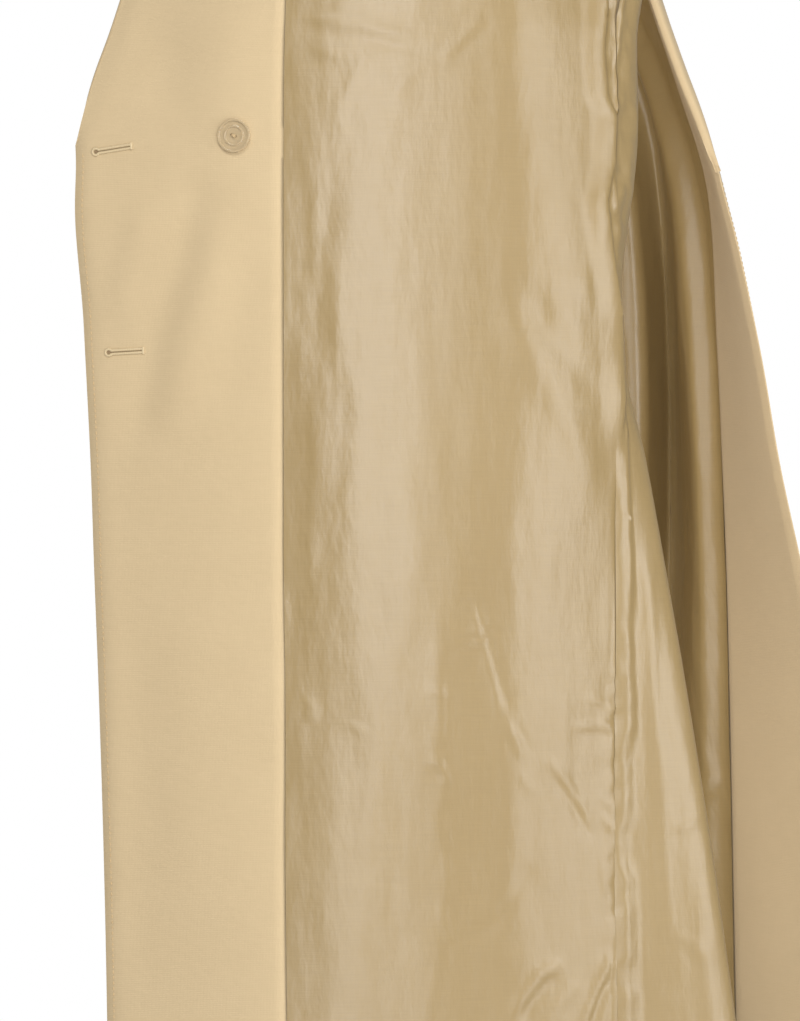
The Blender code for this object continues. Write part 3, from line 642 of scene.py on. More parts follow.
def wall(name, inner, outer, materials, closed=False):
    """A closed thin wall between two grids of points. materials are (inside, outside)."""
    rows, columns = inner.shape[:2]
    count = rows * columns
    wrap = columns if closed else columns - 1
    inside = grid_faces(rows, columns, closed, count)
    outside = grid_faces(rows, columns, closed)[:, ::-1]
    rims = []
    j = np.arange(wrap)
    for i, order in ((0, 1), (rows - 1, -1)):
        a, b = i * columns + j, i * columns + (j + 1) % columns
        rims.append(np.stack([a, b, b + count, a + count][::order], axis=1))
    if not closed:
        i = np.arange(rows - 1)
        for j, order in ((0, -1), (columns - 1, 1)):
            a, b = i * columns + j, (i + 1) * columns + j
            rims.append(np.stack([a, b, b + count, a + count][::order], axis=1))
    faces = np.concatenate([outside, inside] + rims)
    kinds = np.ones(len(faces), int)
    kinds[len(outside) : len(outside) + len(inside)] = 0
    points = np.concatenate([outer.reshape(-1, 3), inner.reshape(-1, 3)])
    uvs = np.concatenate([cloth_uvs(outer), cloth_uvs(inner)])
    return mesh_piece(name, points, faces.tolist(), list(materials), kinds, uvs)


def tube(path, radius, sides=6, closed=False, flat=1.0, up=(-1, 0, 0)):
    """Points and faces of a thread along a path. radius may differ along it; flat squeezes it along up."""
    path = np.asarray(path, float)
    if closed:
        ahead = unit(np.roll(path, -1, axis=0) - np.roll(path, 1, axis=0))
    else:
        ahead = unit(np.gradient(path, axis=0))
    up = np.broadcast_to(np.asarray(up, float), path.shape)
    side = unit(np.cross(ahead, up))
    above = np.cross(side, ahead)
    radius = np.broadcast_to(np.asarray(radius, float), (len(path),))
    angles = np.arange(sides) * 2 * math.pi / sides
    rings = (path[:, None] + radius[:, None, None] * (np.cos(angles)[None, :, None] * side[:, None]
             + flat * np.sin(angles)[None, :, None] * above[:, None]))
    count = len(path)
    faces = []
    for i in range(count if closed else count - 1):
        a, b = i * sides, (i + 1) % count * sides
        for k in range(sides):
            m = (k + 1) % sides
            faces.append([a + k, b + k, b + m, a + m])
    if not closed:
        faces.append(list(range(sides)))
        faces.append(list(range((count - 1) * sides, count * sides))[::-1])
    return rings.reshape(-1, 3), faces


def joined(name, parts, material):
    """One piece made of many (points, faces)."""
    points, faces, shift = [], [], 0
    for part_points, part_faces in parts:
        points.append(part_points)
        faces += [[index + shift for index in face] for face in part_faces]
        shift += len(part_points)
    obj = mesh_piece(name, np.concatenate(points), faces, [material])
    mesh = bmesh.new()
    mesh.from_mesh(obj.data)
    bmesh.ops.recalc_face_normals(mesh, faces=mesh.faces)
    mesh.to_mesh(obj.data)
    mesh.free()
    return obj


# ---------------------------------------------------------------- materials

class Nodes:
    """A material's node tree, with short calls for the nodes that cloth and buttons need."""

    def __init__(self, name):
        self.material = bpy.data.materials.new(name)
        self.material.use_nodes = True
        self.tree = self.material.node_tree
        self.shader = self.tree.nodes["Principled BSDF"]

    def add(self, kind, inputs=None, **settings):
        node = self.tree.nodes.new(kind)
        for key, value in settings.items():
            setattr(node, key, value)
        for key, value in (inputs or {}).items():
            if isinstance(value, bpy.types.NodeSocket):
                self.tree.links.new(value, node.inputs[key])
            else:
                node.inputs[key].default_value = value
        return node

    def math(self, operation, first, second):
        return self.add("ShaderNodeMath", {0: first, 1: second}, operation=operation).outputs[0]

    def noise(self, vector, scale, stretch=(1, 1, 1), detail=2.0):
        placed = self.add("ShaderNodeMapping", {"Vector": vector, "Scale": stretch}).outputs[0]
        inputs = {"Vector": placed, "Scale": scale, "Detail": detail}
        return self.add("ShaderNodeTexNoise", inputs).outputs["Fac"]

    def threads(self, vector, pitch, direction):
        """Ridges of thread, one every pitch metres."""
        return self.add("ShaderNodeTexWave", {"Vector": vector, "Scale": 0.314 / pitch, "Distortion": 0.6,
                        "Detail": 1.0, "Detail Scale": 1.5}, bands_direction=direction).outputs["Fac"]

    def blend(self, factor, low, high):
        node = self.add("ShaderNodeMix", {0: factor}, data_type="RGBA")
        node.inputs[6].default_value = low
        node.inputs[7].default_value = high
        return node.outputs[2]

    def tint(self, colour, factor, dark, light):
        """Colour, made darker or lighter by a factor of its own."""
        inputs = {"Value": factor, "From Min": 0.3, "From Max": 0.7, "To Min": dark, "To Max": light}
        spread = self.add("ShaderNodeMapRange", inputs).outputs[0]
        node = self.add("ShaderNodeVectorMath", {0: colour, "Scale": spread}, operation="SCALE")
        return node.outputs[0]

    def bump(self, height, distance, strength=1.0, below=None):
        inputs = {"Height": height, "Distance": distance, "Strength": strength}
        if below is not None:
            inputs["Normal"] = below
        return self.add("ShaderNodeBump", inputs).outputs[0]

    def finish(self, links, values):
        for key, socket in links.items():
            self.tree.links.new(socket, self.shader.inputs[key])
        for key, value in values.items():
            self.shader.inputs[key].default_value = value
        return self.material


def gabardine():
    """Closely woven cotton: matt, faintly mottled, with fine threads both ways."""
    nodes = Nodes("gabardine_cloth")
    place = nodes.add("ShaderNodeUVMap", uv_map="cloth").outputs[0]
    weft = nodes.threads(place, 0.0011, "Y")
    warp = nodes.threads(place, 0.0009, "X")
    weave = nodes.math("MULTIPLY", weft, warp)
    slubs = nodes.noise(place, 1.0, (70, 900, 1))
    warp_slubs = nodes.noise(place, 1.0, (900, 60, 1))
    mottle = nodes.noise(place, 26.0, detail=4.0)
    colour = nodes.blend(mottle, (0.545, 0.416, 0.244, 1), (0.578, 0.445, 0.266, 1))
    colour = nodes.tint(colour, slubs, 0.988, 1.012)
    colour = nodes.tint(colour, warp_slubs, 0.992, 1.008)
    colour = nodes.tint(colour, weave, 0.992, 1.008)
    rough = nodes.bump(nodes.noise(place, 160.0, detail=3.0), 0.0006, 0.35)
    normal = nodes.bump(weave, 0.00012, 0.5, rough)
    return nodes.finish({"Base Color": colour, "Normal": normal},
                        {"Roughness": 0.82, "Sheen Weight": 0.1, "Sheen Roughness": 0.5,
                         "Specular IOR Level": 0.25})


def satin():
    """Lining satin: fine threads that run across, and a soft gloss."""
    nodes = Nodes("satin_cloth")
    place = nodes.add("ShaderNodeUVMap", uv_map="cloth").outputs[0]
    weft = nodes.threads(place, 0.0006, "Y")
    streaks = nodes.noise(place, 1.0, (40, 1500, 1))
    warp_streaks = nodes.noise(place, 1.0, (1200, 25, 1))
    cloud = nodes.noise(place, 9.0, detail=3.0)
    colour = nodes.blend(cloud, (0.300, 0.206, 0.084, 1), (0.332, 0.232, 0.098, 1))
    colour = nodes.tint(colour, streaks, 0.97, 1.03)
    colour = nodes.tint(colour, warp_streaks, 0.985, 1.015)
    shine = nodes.add("ShaderNodeMapRange", {"Value": cloud, "To Min": 0.26, "To Max": 0.32}).outputs[0]
    rumple = nodes.bump(nodes.noise(place, 1.0, (42, 15, 1), detail=4.0), 0.004, 0.30)
    normal = nodes.bump(nodes.math("ADD", weft, streaks), 0.00008, 0.4, rumple)
    return nodes.finish({"Base Color": colour, "Roughness": shine, "Normal": normal},
                        {"Anisotropic": 0.3, "Specular IOR Level": 0.74})


def thread(name, colour):
    """Twisted sewing thread, a little glossier than the cloth."""
    nodes = Nodes(name)
    place = nodes.add("ShaderNodeTexCoord").outputs["Object"]
    twist = nodes.noise(place, 2200.0, detail=1.0)
    tone = nodes.blend(twist, [c * 0.82 for c in colour] + [1], list(colour) + [1])
    return nodes.finish({"Base Color": tone, "Normal": nodes.bump(twist, 0.0001, 0.6)}, {"Roughness": 0.55})


def painted_buttonhole_shadow():
    """Painted shade: a sheet in dark, frayed browns that stands for the shadow between the lips of a buttonhole."""
    nodes = Nodes("buttonhole_painted_shadow")
    place = nodes.add("ShaderNodeTexCoord").outputs["Object"]
    fray = nodes.noise(place, 1500.0, detail=3.0)
    tone = nodes.blend(fray, (0.20, 0.135, 0.07, 1), (0.34, 0.24, 0.135, 1))
    return nodes.finish({"Base Color": tone, "Normal": nodes.bump(fray, 0.0004, 0.8)}, {"Roughness": 0.95})


def horn():
    """Polished horn-look plastic, mottled in brown."""
    nodes = Nodes("polished_horn")
    place = nodes.add("ShaderNodeTexCoord").outputs["Object"]
    swirl = nodes.noise(place, 90.0, (1, 3, 1), detail=5.0)
    fleck = nodes.noise(place, 420.0, detail=3.0)
    tone = nodes.blend(swirl, (0.075, 0.036, 0.014, 1), (0.44, 0.27, 0.12, 1))
    tone = nodes.tint(tone, fleck, 0.85, 1.12)
    return nodes.finish({"Base Color": tone, "Normal": nodes.bump(fleck, 0.00006, 0.5)},
                        {"Roughness": 0.28, "Coat Weight": 0.3, "Coat Roughness": 0.12})


def clear_plastic():
    """Clear, faintly yellow plastic whose rims catch the light. Its base colour is the tan of the cloth under it,
    painted in for the cloth seen through it; a little of the cloth also shows through by transmission.
    """
    nodes = Nodes("clear_resin")
    place = nodes.add("ShaderNodeTexCoord").outputs["Object"]
    flaw = nodes.noise(place, 260.0, detail=2.0)
    # The base colour is the cloth's tan: a painted view of the cloth seen through the button.
    tone = nodes.blend(flaw, (0.60, 0.455, 0.26, 1), (0.66, 0.51, 0.31, 1))
    return nodes.finish({"Base Color": tone, "Normal": nodes.bump(flaw, 0.00015, 0.5)},
                        {"Roughness": 0.08, "Transmission Weight": 0.3, "IOR": 1.49, "Coat Weight": 0.5})


COTTON = gabardine()
SATIN = satin()
TAN_THREAD = thread("tan_thread", (0.60, 0.44, 0.235))
WORN_THREAD = thread("buttonhole_thread", (0.66, 0.52, 0.31))
# Dark browns that paint the shadow inside the buttonholes.
HOLE_PAINTED_SHADOW = painted_buttonhole_shadow()
HORN = horn()
CLEAR = clear_plastic()


def wear(obj, *nodes):
    """A finished piece rides on the coat, and may stand for CAD nodes, which it hides."""
    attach(obj, BODY)
    if nodes:
        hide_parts(*nodes)
    return obj


def dress(obj, node):
    """A sheet of cloth stands for its solid, which is hidden."""
    wear(obj, node)


# ---------------------------------------------------------------- the body of the coat

def rounded(grid, at_first, at_last, reach=3.0):
    """1 inside a cloth, falling to 0 in a quarter circle at its free side edges."""
    found = np.ones(grid.shape[:2])
    for free, first in ((at_first, True), (at_last, False)):
        if free:
            along = np.clip(from_side(grid, first) / reach, 0, 1)
            found = np.minimum(found, np.sqrt(1 - (1 - along) ** 2))
    return found


def meet_at_shoulder(points):
    """The top row runs on to the shoulder seam, which lies at y 0 on the wearer's left."""
    at_seam = points[0, :, 0] >= NECK_HALF
    points[0, at_seam, 1] *= 0.08


def build_shells(panels):
    """The outer cloth of the fronts and the back."""
    sides = (("right_front_shell", "right", "right_front", True, False, (0.42, 1.12), 0.36),
             ("back_shell", "back", "back", False, False, (0.80, 1.08), 0.72),
             ("left_front_shell", "left", "left_front", False, True, (0.44, 1.12), 0.38))
    for name, side, node, first, last, flat, area in sides:
        panel = panels[side]
        whole = slice(None)
        round_off = rounded(panel.grid, first, last)
        across, z = panel.grid[..., 0] + panel.grid[..., 1], panel.grid[..., 2]
        hang = 0.5 * soft_noise(across, z, 45, 170, 21) * round_off
        outer = moved(panel, whole, SHELL_OUT * round_off + hang)
        inner = moved(panel, whole, SHELL_IN)
        if side != "right":
            meet_at_shoulder(outer)
            meet_at_shoulder(inner)
        dress(wall(name, inner, outer, (COTTON, COTTON)), node)


def build_facings(panels):
    """The facings, and their faces with normals towards the wearer."""
    faces = {}
    for side, first, last, node in (("right", 0, 1, "right_facing"), ("left", 4, 5, "left_facing")):
        panel = panels[side]
        columns = between(panel, first, last)
        part = panel.grid[:, columns]
        edge_first = side == "right"
        rolled = smooth_step(part[..., 2], BREAK_Z - 2, BREAK_Z + 14)
        edge = np.maximum(rounded(part, edge_first, not edge_first, reach=3), rolled)
        fold = rounded(part, not edge_first, edge_first, reach=2.6)
        y, z = part[..., 1], part[..., 2]
        if side == "right":
            relief = folds_at(y, z, FACING_FOLDS) + 0.5 * soft_noise(y, z, 40, 110, 31) + 1.6
            turn = from_side(part, True)
            relief -= 0.5 * np.exp(-(((turn - 5.2) / 1.0) ** 2)) * smooth_step(-z, 372, 384)
        else:
            relief = creases_at(y, z, LEFT_CREASES) + 0.8 * soft_noise(y, z, 30, 120, 33) + 0.9
        relief = np.maximum(relief, 0.0) * smooth_step(from_side(part, edge_first), 0, 12)
        inner = moved(panel, columns, SHELL_IN + (FACING_IN - relief - SHELL_IN) * edge * (0.3 + 0.7 * fold))
        outer = moved(panel, columns, SHELL_IN + (FACING_OUT - SHELL_IN) * edge)
        dress(wall(f"{side}_facing_cloth", inner, outer, (COTTON, COTTON)), node)
        faces[side] = Panel(inner, -outward(inner), None)
    return faces


def build_linings(panels):
    """The satin linings, which stand off the shell by their folds."""
    above_hem = int(round(LINING_HEM / ROW_GAP))
    for name, side, first, last, node, flat, area in (
            ("right_lining_cloth", "right", 1, 3, "right_front_lining", (0.26, 1.1), None),
            ("back_lining_cloth", "back", 0, 8, "back_lining", (0.80, 1.08), 0.72),
            ("left_lining_cloth", "left", 0, 4, "left_front_lining", (0.32, 1.1), 0.27)):
        panel = panels[side]
        columns = between(panel, first, last)
        y, z = panel.grid[:, columns, 1], panel.grid[:, columns, 2]
        if side == "right":
            height = right_lining_height(y, z)
        elif side == "back":
            seen = before_flute(panel, columns)
            height = 1.5 * (1 - smooth_step(from_side(panel.grid, True), 0, 12)) + folds_at(y, z, FLUTE_FOLDS)
            height += creases_at(y, z, FLUTE_CREASES) + seam_height(y, z) + 0.12 * soft_noise(y, z, 9, 34, 6)
            height = np.maximum(height * seen, 0) + hidden_folds(panel.grid, 1 - seen)
        else:
            height = left_lining_height(panel, columns)
        points = moved(panel, columns, LINING_AT - height)
        dress(sheet(name, points[:-above_hem], SATIN), node)


def hidden_folds(grid, where):
    """Long soft hanging folds over the rest of the back lining."""
    across = from_side(grid, True)
    z = grid[..., 2]
    waves = 1.2 * soft_noise(across, z, 26, 260, 51) + 0.4 * soft_noise(across, z, 11, 70, 52)
    return np.maximum(waves + 0.5, 0) * where


def build_hems(panels):
    """The shell is turned up inside at the hem, under the edge of the lining."""
    for side, panel in panels.items():
        rows = slice(-round(HEM_DEPTH / SHELL_ROW_GAP), None)
        grid, normals = panel.grid[rows], panel.normals[rows]
        inner = grid + HEM_IN * normals
        outer = grid + HEM_OUT * normals
        wear(wall(f"hem_turned_up_{side}", inner, outer, (COTTON, COTTON)))


# ---------------------------------------------------------------- lapels, sleeves and collar

Lapel = namedtuple("Lapel", "z width")
LAPEL = (Lapel(-62, 52), Lapel(-95, 74), Lapel(-128, 94), Lapel(-180, 84), Lapel(-235, 66), Lapel(-290, 45),
         Lapel(-335, 22), Lapel(-360, 7), Lapel(-370.5, 1.5))
ROLL_GROWS_OVER = 60
ROLL_SECTION = ((-0.6, -2.1), (0.5, -1.8), (1.2, -0.3), (1.1, 1.2))
LEAF_LIFT = 3.0
LEAF_LIFT_AT_BREAK = 1.2
LAPEL_ROWS = 9


def row_at(panel, z, from_edge):
    """A panel's line at the height its edge reaches z, from the free edge inwards, with its normals."""
    edge = 0 if from_edge == "first" else -1
    heights = panel.grid[:, edge, 2]
    row = int(np.argmax(heights < z))
    t = (heights[row - 1] - z) / (heights[row - 1] - heights[row])
    line = (1 - t) * panel.grid[row - 1] + t * panel.grid[row]
    out = unit((1 - t) * panel.normals[row - 1] + t * panel.normals[row])
    return (line, out) if edge == 0 else (line[::-1], out[::-1])


def along(line, out, distance):
    """The point and normal at a distance along a line of points."""
    reach = np.concatenate([[0], np.cumsum(np.linalg.norm(np.diff(line, axis=0), axis=1))])
    place = np.array([np.interp(distance, reach, line[:, k]) for k in range(3)])
    normal = unit(np.array([np.interp(distance, reach, out[:, k]) for k in range(3)]))
    return place, normal


def build_lapel(name, node, panel, from_edge):
    """The lapel rolls over the front's edge and lies on the outside of the front."""
    rows = []
    outline = sampled([(row.z, row.width, 0) for row in LAPEL], [LAPEL_ROWS] * (len(LAPEL) - 1))
    for z, width, _ in outline:
        line, out = row_at(panel, z, from_edge)
        beyond = unit(line[0] - line[3])
        grown = float(smooth_step(z, BREAK_Z, BREAK_Z + ROLL_GROWS_OVER))
        roll = [line[0] + (ahead * grown - 0.9 * (1 - grown)) * beyond + up * out[0]
                for ahead, up in ROLL_SECTION]
        leaf = []
        for part in np.linspace(0.15, 1, 6):
            place, normal = along(line, out, part * width)
            lift = LEAF_LIFT_AT_BREAK + grown * (LEAF_LIFT - LEAF_LIFT_AT_BREAK + 0.8 * (1 - part))
            leaf.append(place + lift * normal)
        rows.append(sampled(roll + leaf, [2, 2, 2, 3] + [3] * 5))
    grid = np.array(rows)
    normals = outward(grid)
    tapered = 0.3 + 0.7 * smooth_step(grid[..., 2], BREAK_Z, BREAK_Z + 30)
    edge = (rounded(grid, False, True, reach=2.0) * tapered)[..., None]
    dress(wall(name, grid - 0.8 * edge * normals, grid + 0.8 * edge * normals, (COTTON, COTTON)), node)
    return Panel(grid, normals, None)


LEFT_ARMHOLE = ((199, 0, -49), (190, -42, -112), (187, -44, -182), (189, -15, -230),
                (190, 0, -249), (189, 15, -230), (187, 46, -182), (189, 50, -112))
RIGHT_ARMHOLE = ((-203, 2, -55), (-213, -34, -114), (-216, -50, -182), (-217, -56, -230),
                 (-214, -57, -250), (-203, -16, -232), (-186, 44, -182), (-190, 48, -112))
Sleeve = namedtuple("Sleeve", "centre depth width lean")
LEFT_SLEEVE = (
    Sleeve((254, 0, -205), 70, 57, 22),
    Sleeve((266, -8, -370), 65, 54, 4),
    Sleeve((266, -20, -500), 61, 51, 0),
    Sleeve((264, -34, -615), 58, 48, -2),
)
RIGHT_SLEEVE = (
    Sleeve((-223, 26, -225), 66, 27, 0),
    Sleeve((-223, 34, -370), 66, 28, 0),
    Sleeve((-222, 38, -500), 64, 28, 0),
    Sleeve((-222, 42, -615), 62, 28, 0),
)
SLEEVE_SIDES = 72
SLEEVE_STEPS = (26, 26, 20, 18)
ARMHOLE_FINE = 24
ARMHOLE_SEAM = 5


def sleeve_ring(section):
    """The oval round a sleeve at one of its sections."""
    angles = np.arange(SLEEVE_SIDES) * 2 * math.pi / SLEEVE_SIDES
    outward_x = 1 if section.centre[0] > 0 else -1
    lean = math.radians(section.lean)
    side = np.array([outward_x * math.cos(lean), 0, math.sin(lean)])
    ahead = np.array([0, -1, 0])
    return (np.array(section.centre) + section.width * np.cos(angles)[:, None] * side
            + section.depth * np.sin(angles)[:, None] * ahead)


def armhole_ring(points):
    """Evenly spaced points round an armhole."""
    closed = list(points) + [points[0]]
    fine = sampled(closed, [ARMHOLE_FINE] * len(points), points[-1], points[1])
    reach = np.concatenate([[0], np.cumsum(np.linalg.norm(np.diff(fine, axis=0), axis=1))])
    wanted = np.arange(SLEEVE_SIDES) / SLEEVE_SIDES * reach[-1]
    return np.array([[np.interp(w, reach, fine[:, k]) for k in range(3)] for w in wanted])


def build_sleeve(name, node, armhole, sections, drag, seed):
    """A sleeve from its armhole to its cuff, with soft drag folds round the elbow and a lined inside."""
    rings = np.array([armhole_ring(armhole)] + [sleeve_ring(section) for section in sections])
    grid = sampled(rings, SLEEVE_STEPS)
    middle = grid[0].mean(axis=0)
    inward = np.array([-np.sign(middle[0]), 0, 0]) * ARMHOLE_SEAM
    grid = np.concatenate([[middle + (grid[0] - middle) * 0.985 + inward], grid])
    across = np.roll(grid, -1, axis=1) - np.roll(grid, 1, axis=1)
    normals = unit(np.cross(across, np.gradient(grid, axis=0)))
    centre = grid.mean(axis=1, keepdims=True)
    if (normals * (grid - centre)).sum() < 0:
        grid, normals = grid[:, ::-1], -normals[:, ::-1]
    turn = np.arange(SLEEVE_SIDES)[None, :] * np.ones((len(grid), 1))
    slanted = grid[..., 2] + 26 * np.sin(turn * 2 * math.pi / SLEEVE_SIDES + seed)
    around = np.minimum(turn, SLEEVE_SIDES - turn)
    folds = soft_noise(slanted, around, 17, 15, seed) + 0.5 * soft_noise(slanted, around, 60, 9, seed + 1)
    held = smooth_step(-grid[..., 2], 235, 300) * smooth_step(grid[..., 2], -612, -560)
    shift = (drag * folds * held)[..., None]
    inner = grid + (shift - 0.8) * normals
    outer = grid + (shift + 0.7) * normals
    dress(wall(name, inner, outer, (SATIN, COTTON), closed=True), node)
    return Panel(grid, normals, None)


Neck = namedtuple("Neck", "seam fall")
COLLAR = (
    Neck((66, -66, -56), 84),
    Neck((78, -34, -26), 70),
    Neck((88, 2, 3), 58),
    Neck((62, 42, -2), 56),
    Neck((0, 61, -6), 56),
    Neck((-62, 42, -2), 56),
    Neck((-86, 14, 3), 54),
)
STAND = 30
FALL_OUT = 0.62
NECK_SEAM = 11
COLLAR_SECTION = ((1.5, 2, 0), (0, 16, 0), (2, 28, 0), (7, 33, 0), (14, STAND, 0), (14, STAND, 0.42),
                  (14, STAND + 2, 0.76))


def build_collar():
    """The stand rises from the neck seam, rolls over and falls outwards."""
    steps = [8] * (len(COLLAR) - 1)
    seam = sampled([row.seam for row in COLLAR], steps)
    fall = sampled([(row.fall, 0, 0) for row in COLLAR], steps)[:, 0]
    tangent = unit(np.gradient(seam, axis=0))
    up = np.array([0, 0, 1.0])
    rows = []
    for place, along_seam, drop in zip(seam, tangent, fall):
        out = unit(np.cross(along_seam, up))
        if np.dot(out[:2], place[:2]) < 0:
            out = -out
        section = [place + (o + part * drop * FALL_OUT) * out + (z - part * drop) * up
                   for o, z, part in COLLAR_SECTION]
        section[0] = section[0] - NECK_SEAM * float(smooth_step(place[1], 25, 55)) * up
        rows.append(sampled(section, [3, 3, 3, 3, 6, 6]))
    grid = np.array(rows).transpose(1, 0, 2)
    normals = outward(grid)
    dress(wall("collar_cloth", grid - 0.9 * normals, grid + 0.9 * normals, (COTTON, COTTON)), "collar")
    return Panel(grid, normals, None)


# ---------------------------------------------------------------- sewing

STITCH_TOP, STITCH_END = BREAK_Z - 4, HEM_Z + 2
STITCH = 2.5
STITCH_GAP = 0.8


def stitch_row(points, normals, lift=0.12, stitch=STITCH, width=0.34):
    """Single stitches along a line on the cloth, each a short thread that dips at both ends."""
    reach = np.concatenate([[0], np.cumsum(np.linalg.norm(np.diff(points, axis=0), axis=1))])
    parts = []
    for start in np.arange(0.5, reach[-1] - stitch, stitch + STITCH_GAP):
        places = start + np.array([0, 0.2, 0.5, 0.8, 1]) * stitch
        path = np.stack([np.interp(places, reach, points[:, k]) for k in range(3)], axis=1)
        up = np.stack([np.interp(places, reach, normals[:, k]) for k in range(3)], axis=1)
        rise = np.array([-0.25, 0.05, lift, 0.05, -0.25])
        thick = np.array([0.12, 0.9, 1, 0.9, 0.12]) * width
        parts.append(tube(path + rise[:, None] * up, thick, sides=5, up=unit(up)))
    return parts


def line_on(panel, distance, from_edge, offset, top, bottom):
    """A line on the cloth at a distance from an edge, between two heights, with the cloth's normals."""
    first = from_edge == "first"
    along_rows = from_side(panel.grid, first)
    order = 1 if first else -1
    heights = panel.grid[:, 0 if first else -1, 2]
    points, normals = [], []
    for i in np.flatnonzero((heights <= top) & (heights >= bottom)):
        reach = along_rows[i][::order]
        points.append([np.interp(distance, reach, panel.grid[i, ::order, k]) for k in range(3)])
        normals.append([np.interp(distance, reach, panel.normals[i, ::order, k]) for k in range(3)])
    points, normals = np.array(points), unit(np.array(normals))
    return points + offset * normals, normals


def build_topstitching(facings, coarse, lapels, collar):
    """Rows of stitches along the free edges, the hem, the lapels and the collar."""
    edge_rows = []
    edge_rows += stitch_row(*line_on(facings["right"], FACING_STITCH, "first", 0.08, STITCH_TOP, STITCH_END))
    for side, edge in (("right", "first"), ("left", "last")):
        line = line_on(coarse[side], SHELL_STITCH, edge, SHELL_OUT, STITCH_TOP, STITCH_END)
        edge_rows += stitch_row(*line, lift=0.0)
    wear(joined("edge_topstitching", edge_rows, TAN_THREAD))
    hem_rows = []
    for side, panel in coarse.items():
        grid, normals = panel.grid[-HEM_STITCH_ROW], panel.normals[-HEM_STITCH_ROW]
        hem_rows += stitch_row(grid[1:-1] + SHELL_OUT * normals[1:-1], normals[1:-1])
    wear(joined("hem_stitching", hem_rows, TAN_THREAD))
    leaf_rows = []
    for leaf in lapels:
        leaf_rows += stitch_row(*line_on(leaf, 6, "last", 0.8, -60, -350))
    place = collar.grid[-2]
    leaf_rows += stitch_row(place + 0.9 * collar.normals[-2], collar.normals[-2])
    wear(joined("lapel_and_collar_topstitching", leaf_rows, TAN_THREAD))


def on_cloth(surface, y, z, height):
    """The point of a front's surface at y and z, lifted off it by height, and its normal."""
    row = int(np.argmin(np.abs(surface.grid[:, 0, 2] - z)))
    line, out = surface.grid[row], surface.normals[row]
    point = np.array([np.interp(-y, -line[:, 1], line[:, k]) for k in range(3)])
    normal = unit(np.array([np.interp(-y, -line[:, 1], out[:, k]) for k in range(3)]))
    point[2] = z
    return point + height * normal, normal


Buttonhole = namedtuple("Buttonhole", "eyelet bar gape")
BUTTONHOLES = (Buttonhole((237.5, -376.4), (216, -373.6), 0.2),
               Buttonhole((229.8, -495.4), (209, -494.4), 0.9))
EYELET_RADIUS = 1.95
LIP_APART = 1.05
RIM_RADIUS = 0.8


def build_buttonholes(surface, side):
    """Keyhole buttonholes: a round eyelet near the edge, two worked lips and a bar at the other end, with a dark sheet
    of painted shadow in the slit and the eyelet.
    """
    for number, hole in enumerate(BUTTONHOLES, 1):
        start, end = np.array(hole.eyelet, float), np.array(hole.bar, float)
        length = np.linalg.norm(end - start)
        run = (end - start) / length
        cross = np.array([-run[1], run[0]])
        turn = math.asin(LIP_APART / EYELET_RADIUS)
        arc = [start + EYELET_RADIUS * (-math.cos(a) * run + math.sin(a) * cross)
               for a in np.linspace(-(math.pi - turn), math.pi - turn, 26)]
        along_lip = np.linspace(EYELET_RADIUS, length, 46)[1:]
        upper = [start + t * run + LIP_APART * cross for t in along_lip]
        lower = [start + t * run - LIP_APART * cross for t in along_lip[::-1]]
        path, normals = zip(*[on_cloth(surface, p[0], p[1], 0.3) for p in arc + upper + lower])
        whip = RIM_RADIUS * (1 + 0.15 * np.cos(np.arange(len(path)) * 2.4))
        rim = [tube(path, whip, sides=8, closed=True, flat=0.75, up=np.array(normals))]
        bar = [on_cloth(surface, *(end + s * cross), 0.4)[0] for s in np.linspace(-2.0, 2.0, 7)]
        rim.append(tube(bar, RIM_RADIUS, sides=8, flat=0.75))
        wear(joined(f"buttonhole_{number}_{side}", rim, WORN_THREAD))
        # A dark sheet across the slit, widest at the eyelet: painted shadow between the lips.
        slit_shadow_rows = []
        for t in np.linspace(-0.9, length - 1, 14):
            half = hole.gape * (1 - 0.6 * max(t, 0) / length) + (0.7 if t < 1.4 else 0)
            across = [start + t * run + s * half * cross for s in (-1, 0, 1)]
            slit_shadow_rows.append([on_cloth(surface, *place, 0.2)[0] for place in across])
        wear(sheet(f"buttonhole_{number}_slit_{side}", np.array(slit_shadow_rows), HOLE_PAINTED_SHADOW))


# ---------------------------------------------------------------- buttons

def choose_faces(obj, test):
    """Selects the faces whose centre and normal pass a test, and goes into edit mode."""
    bpy.ops.object.select_all(action="DESELECT")
    bpy.context.view_layer.objects.active = obj
    obj.select_set(True)
    bpy.ops.object.mode_set(mode="EDIT")
    bpy.ops.mesh.select_mode(type="FACE")
    bpy.ops.mesh.select_all(action="DESELECT")
    bpy.ops.object.mode_set(mode="OBJECT")
    for face in obj.data.polygons:
        face.select = bool(test(face.center, face.normal))
    bpy.ops.object.mode_set(mode="EDIT")


def apply(obj, name, kind, **settings):
    """Adds a modifier and applies it."""
    modifier = obj.modifiers.new(name, kind)
    for key, value in settings.items():
        setattr(modifier, key, value)
    bpy.context.view_layer.objects.active = obj
    bpy.ops.object.modifier_apply(modifier=name)


def turned_disc(name, radius, depth, steps, bevel, material):
    """A button turned from a disc: each step insets its top by so much and then sinks or raises it."""
    bpy.ops.mesh.primitive_cylinder_add(vertices=56, radius=radius, depth=depth, location=(0, 0, depth / 2))
    obj = bpy.context.object
    obj.name = name
    obj.data.name = name
    choose_faces(obj, lambda centre, normal: normal.z > 0.9)
    for inset, rise in steps:
        bpy.ops.mesh.inset(thickness=inset)
        if rise:
            bpy.ops.mesh.extrude_region_move(TRANSFORM_OT_translate={"value": (0, 0, rise)})
    bpy.ops.object.mode_set(mode="OBJECT")
    apply(obj, "soft_edges", "BEVEL", width=bevel, segments=3, limit_method="ANGLE",
          angle_limit=math.radians(35))
    obj.data.materials.clear()
    obj.data.materials.append(material)
    bpy.ops.object.select_all(action="DESELECT")
    return obj


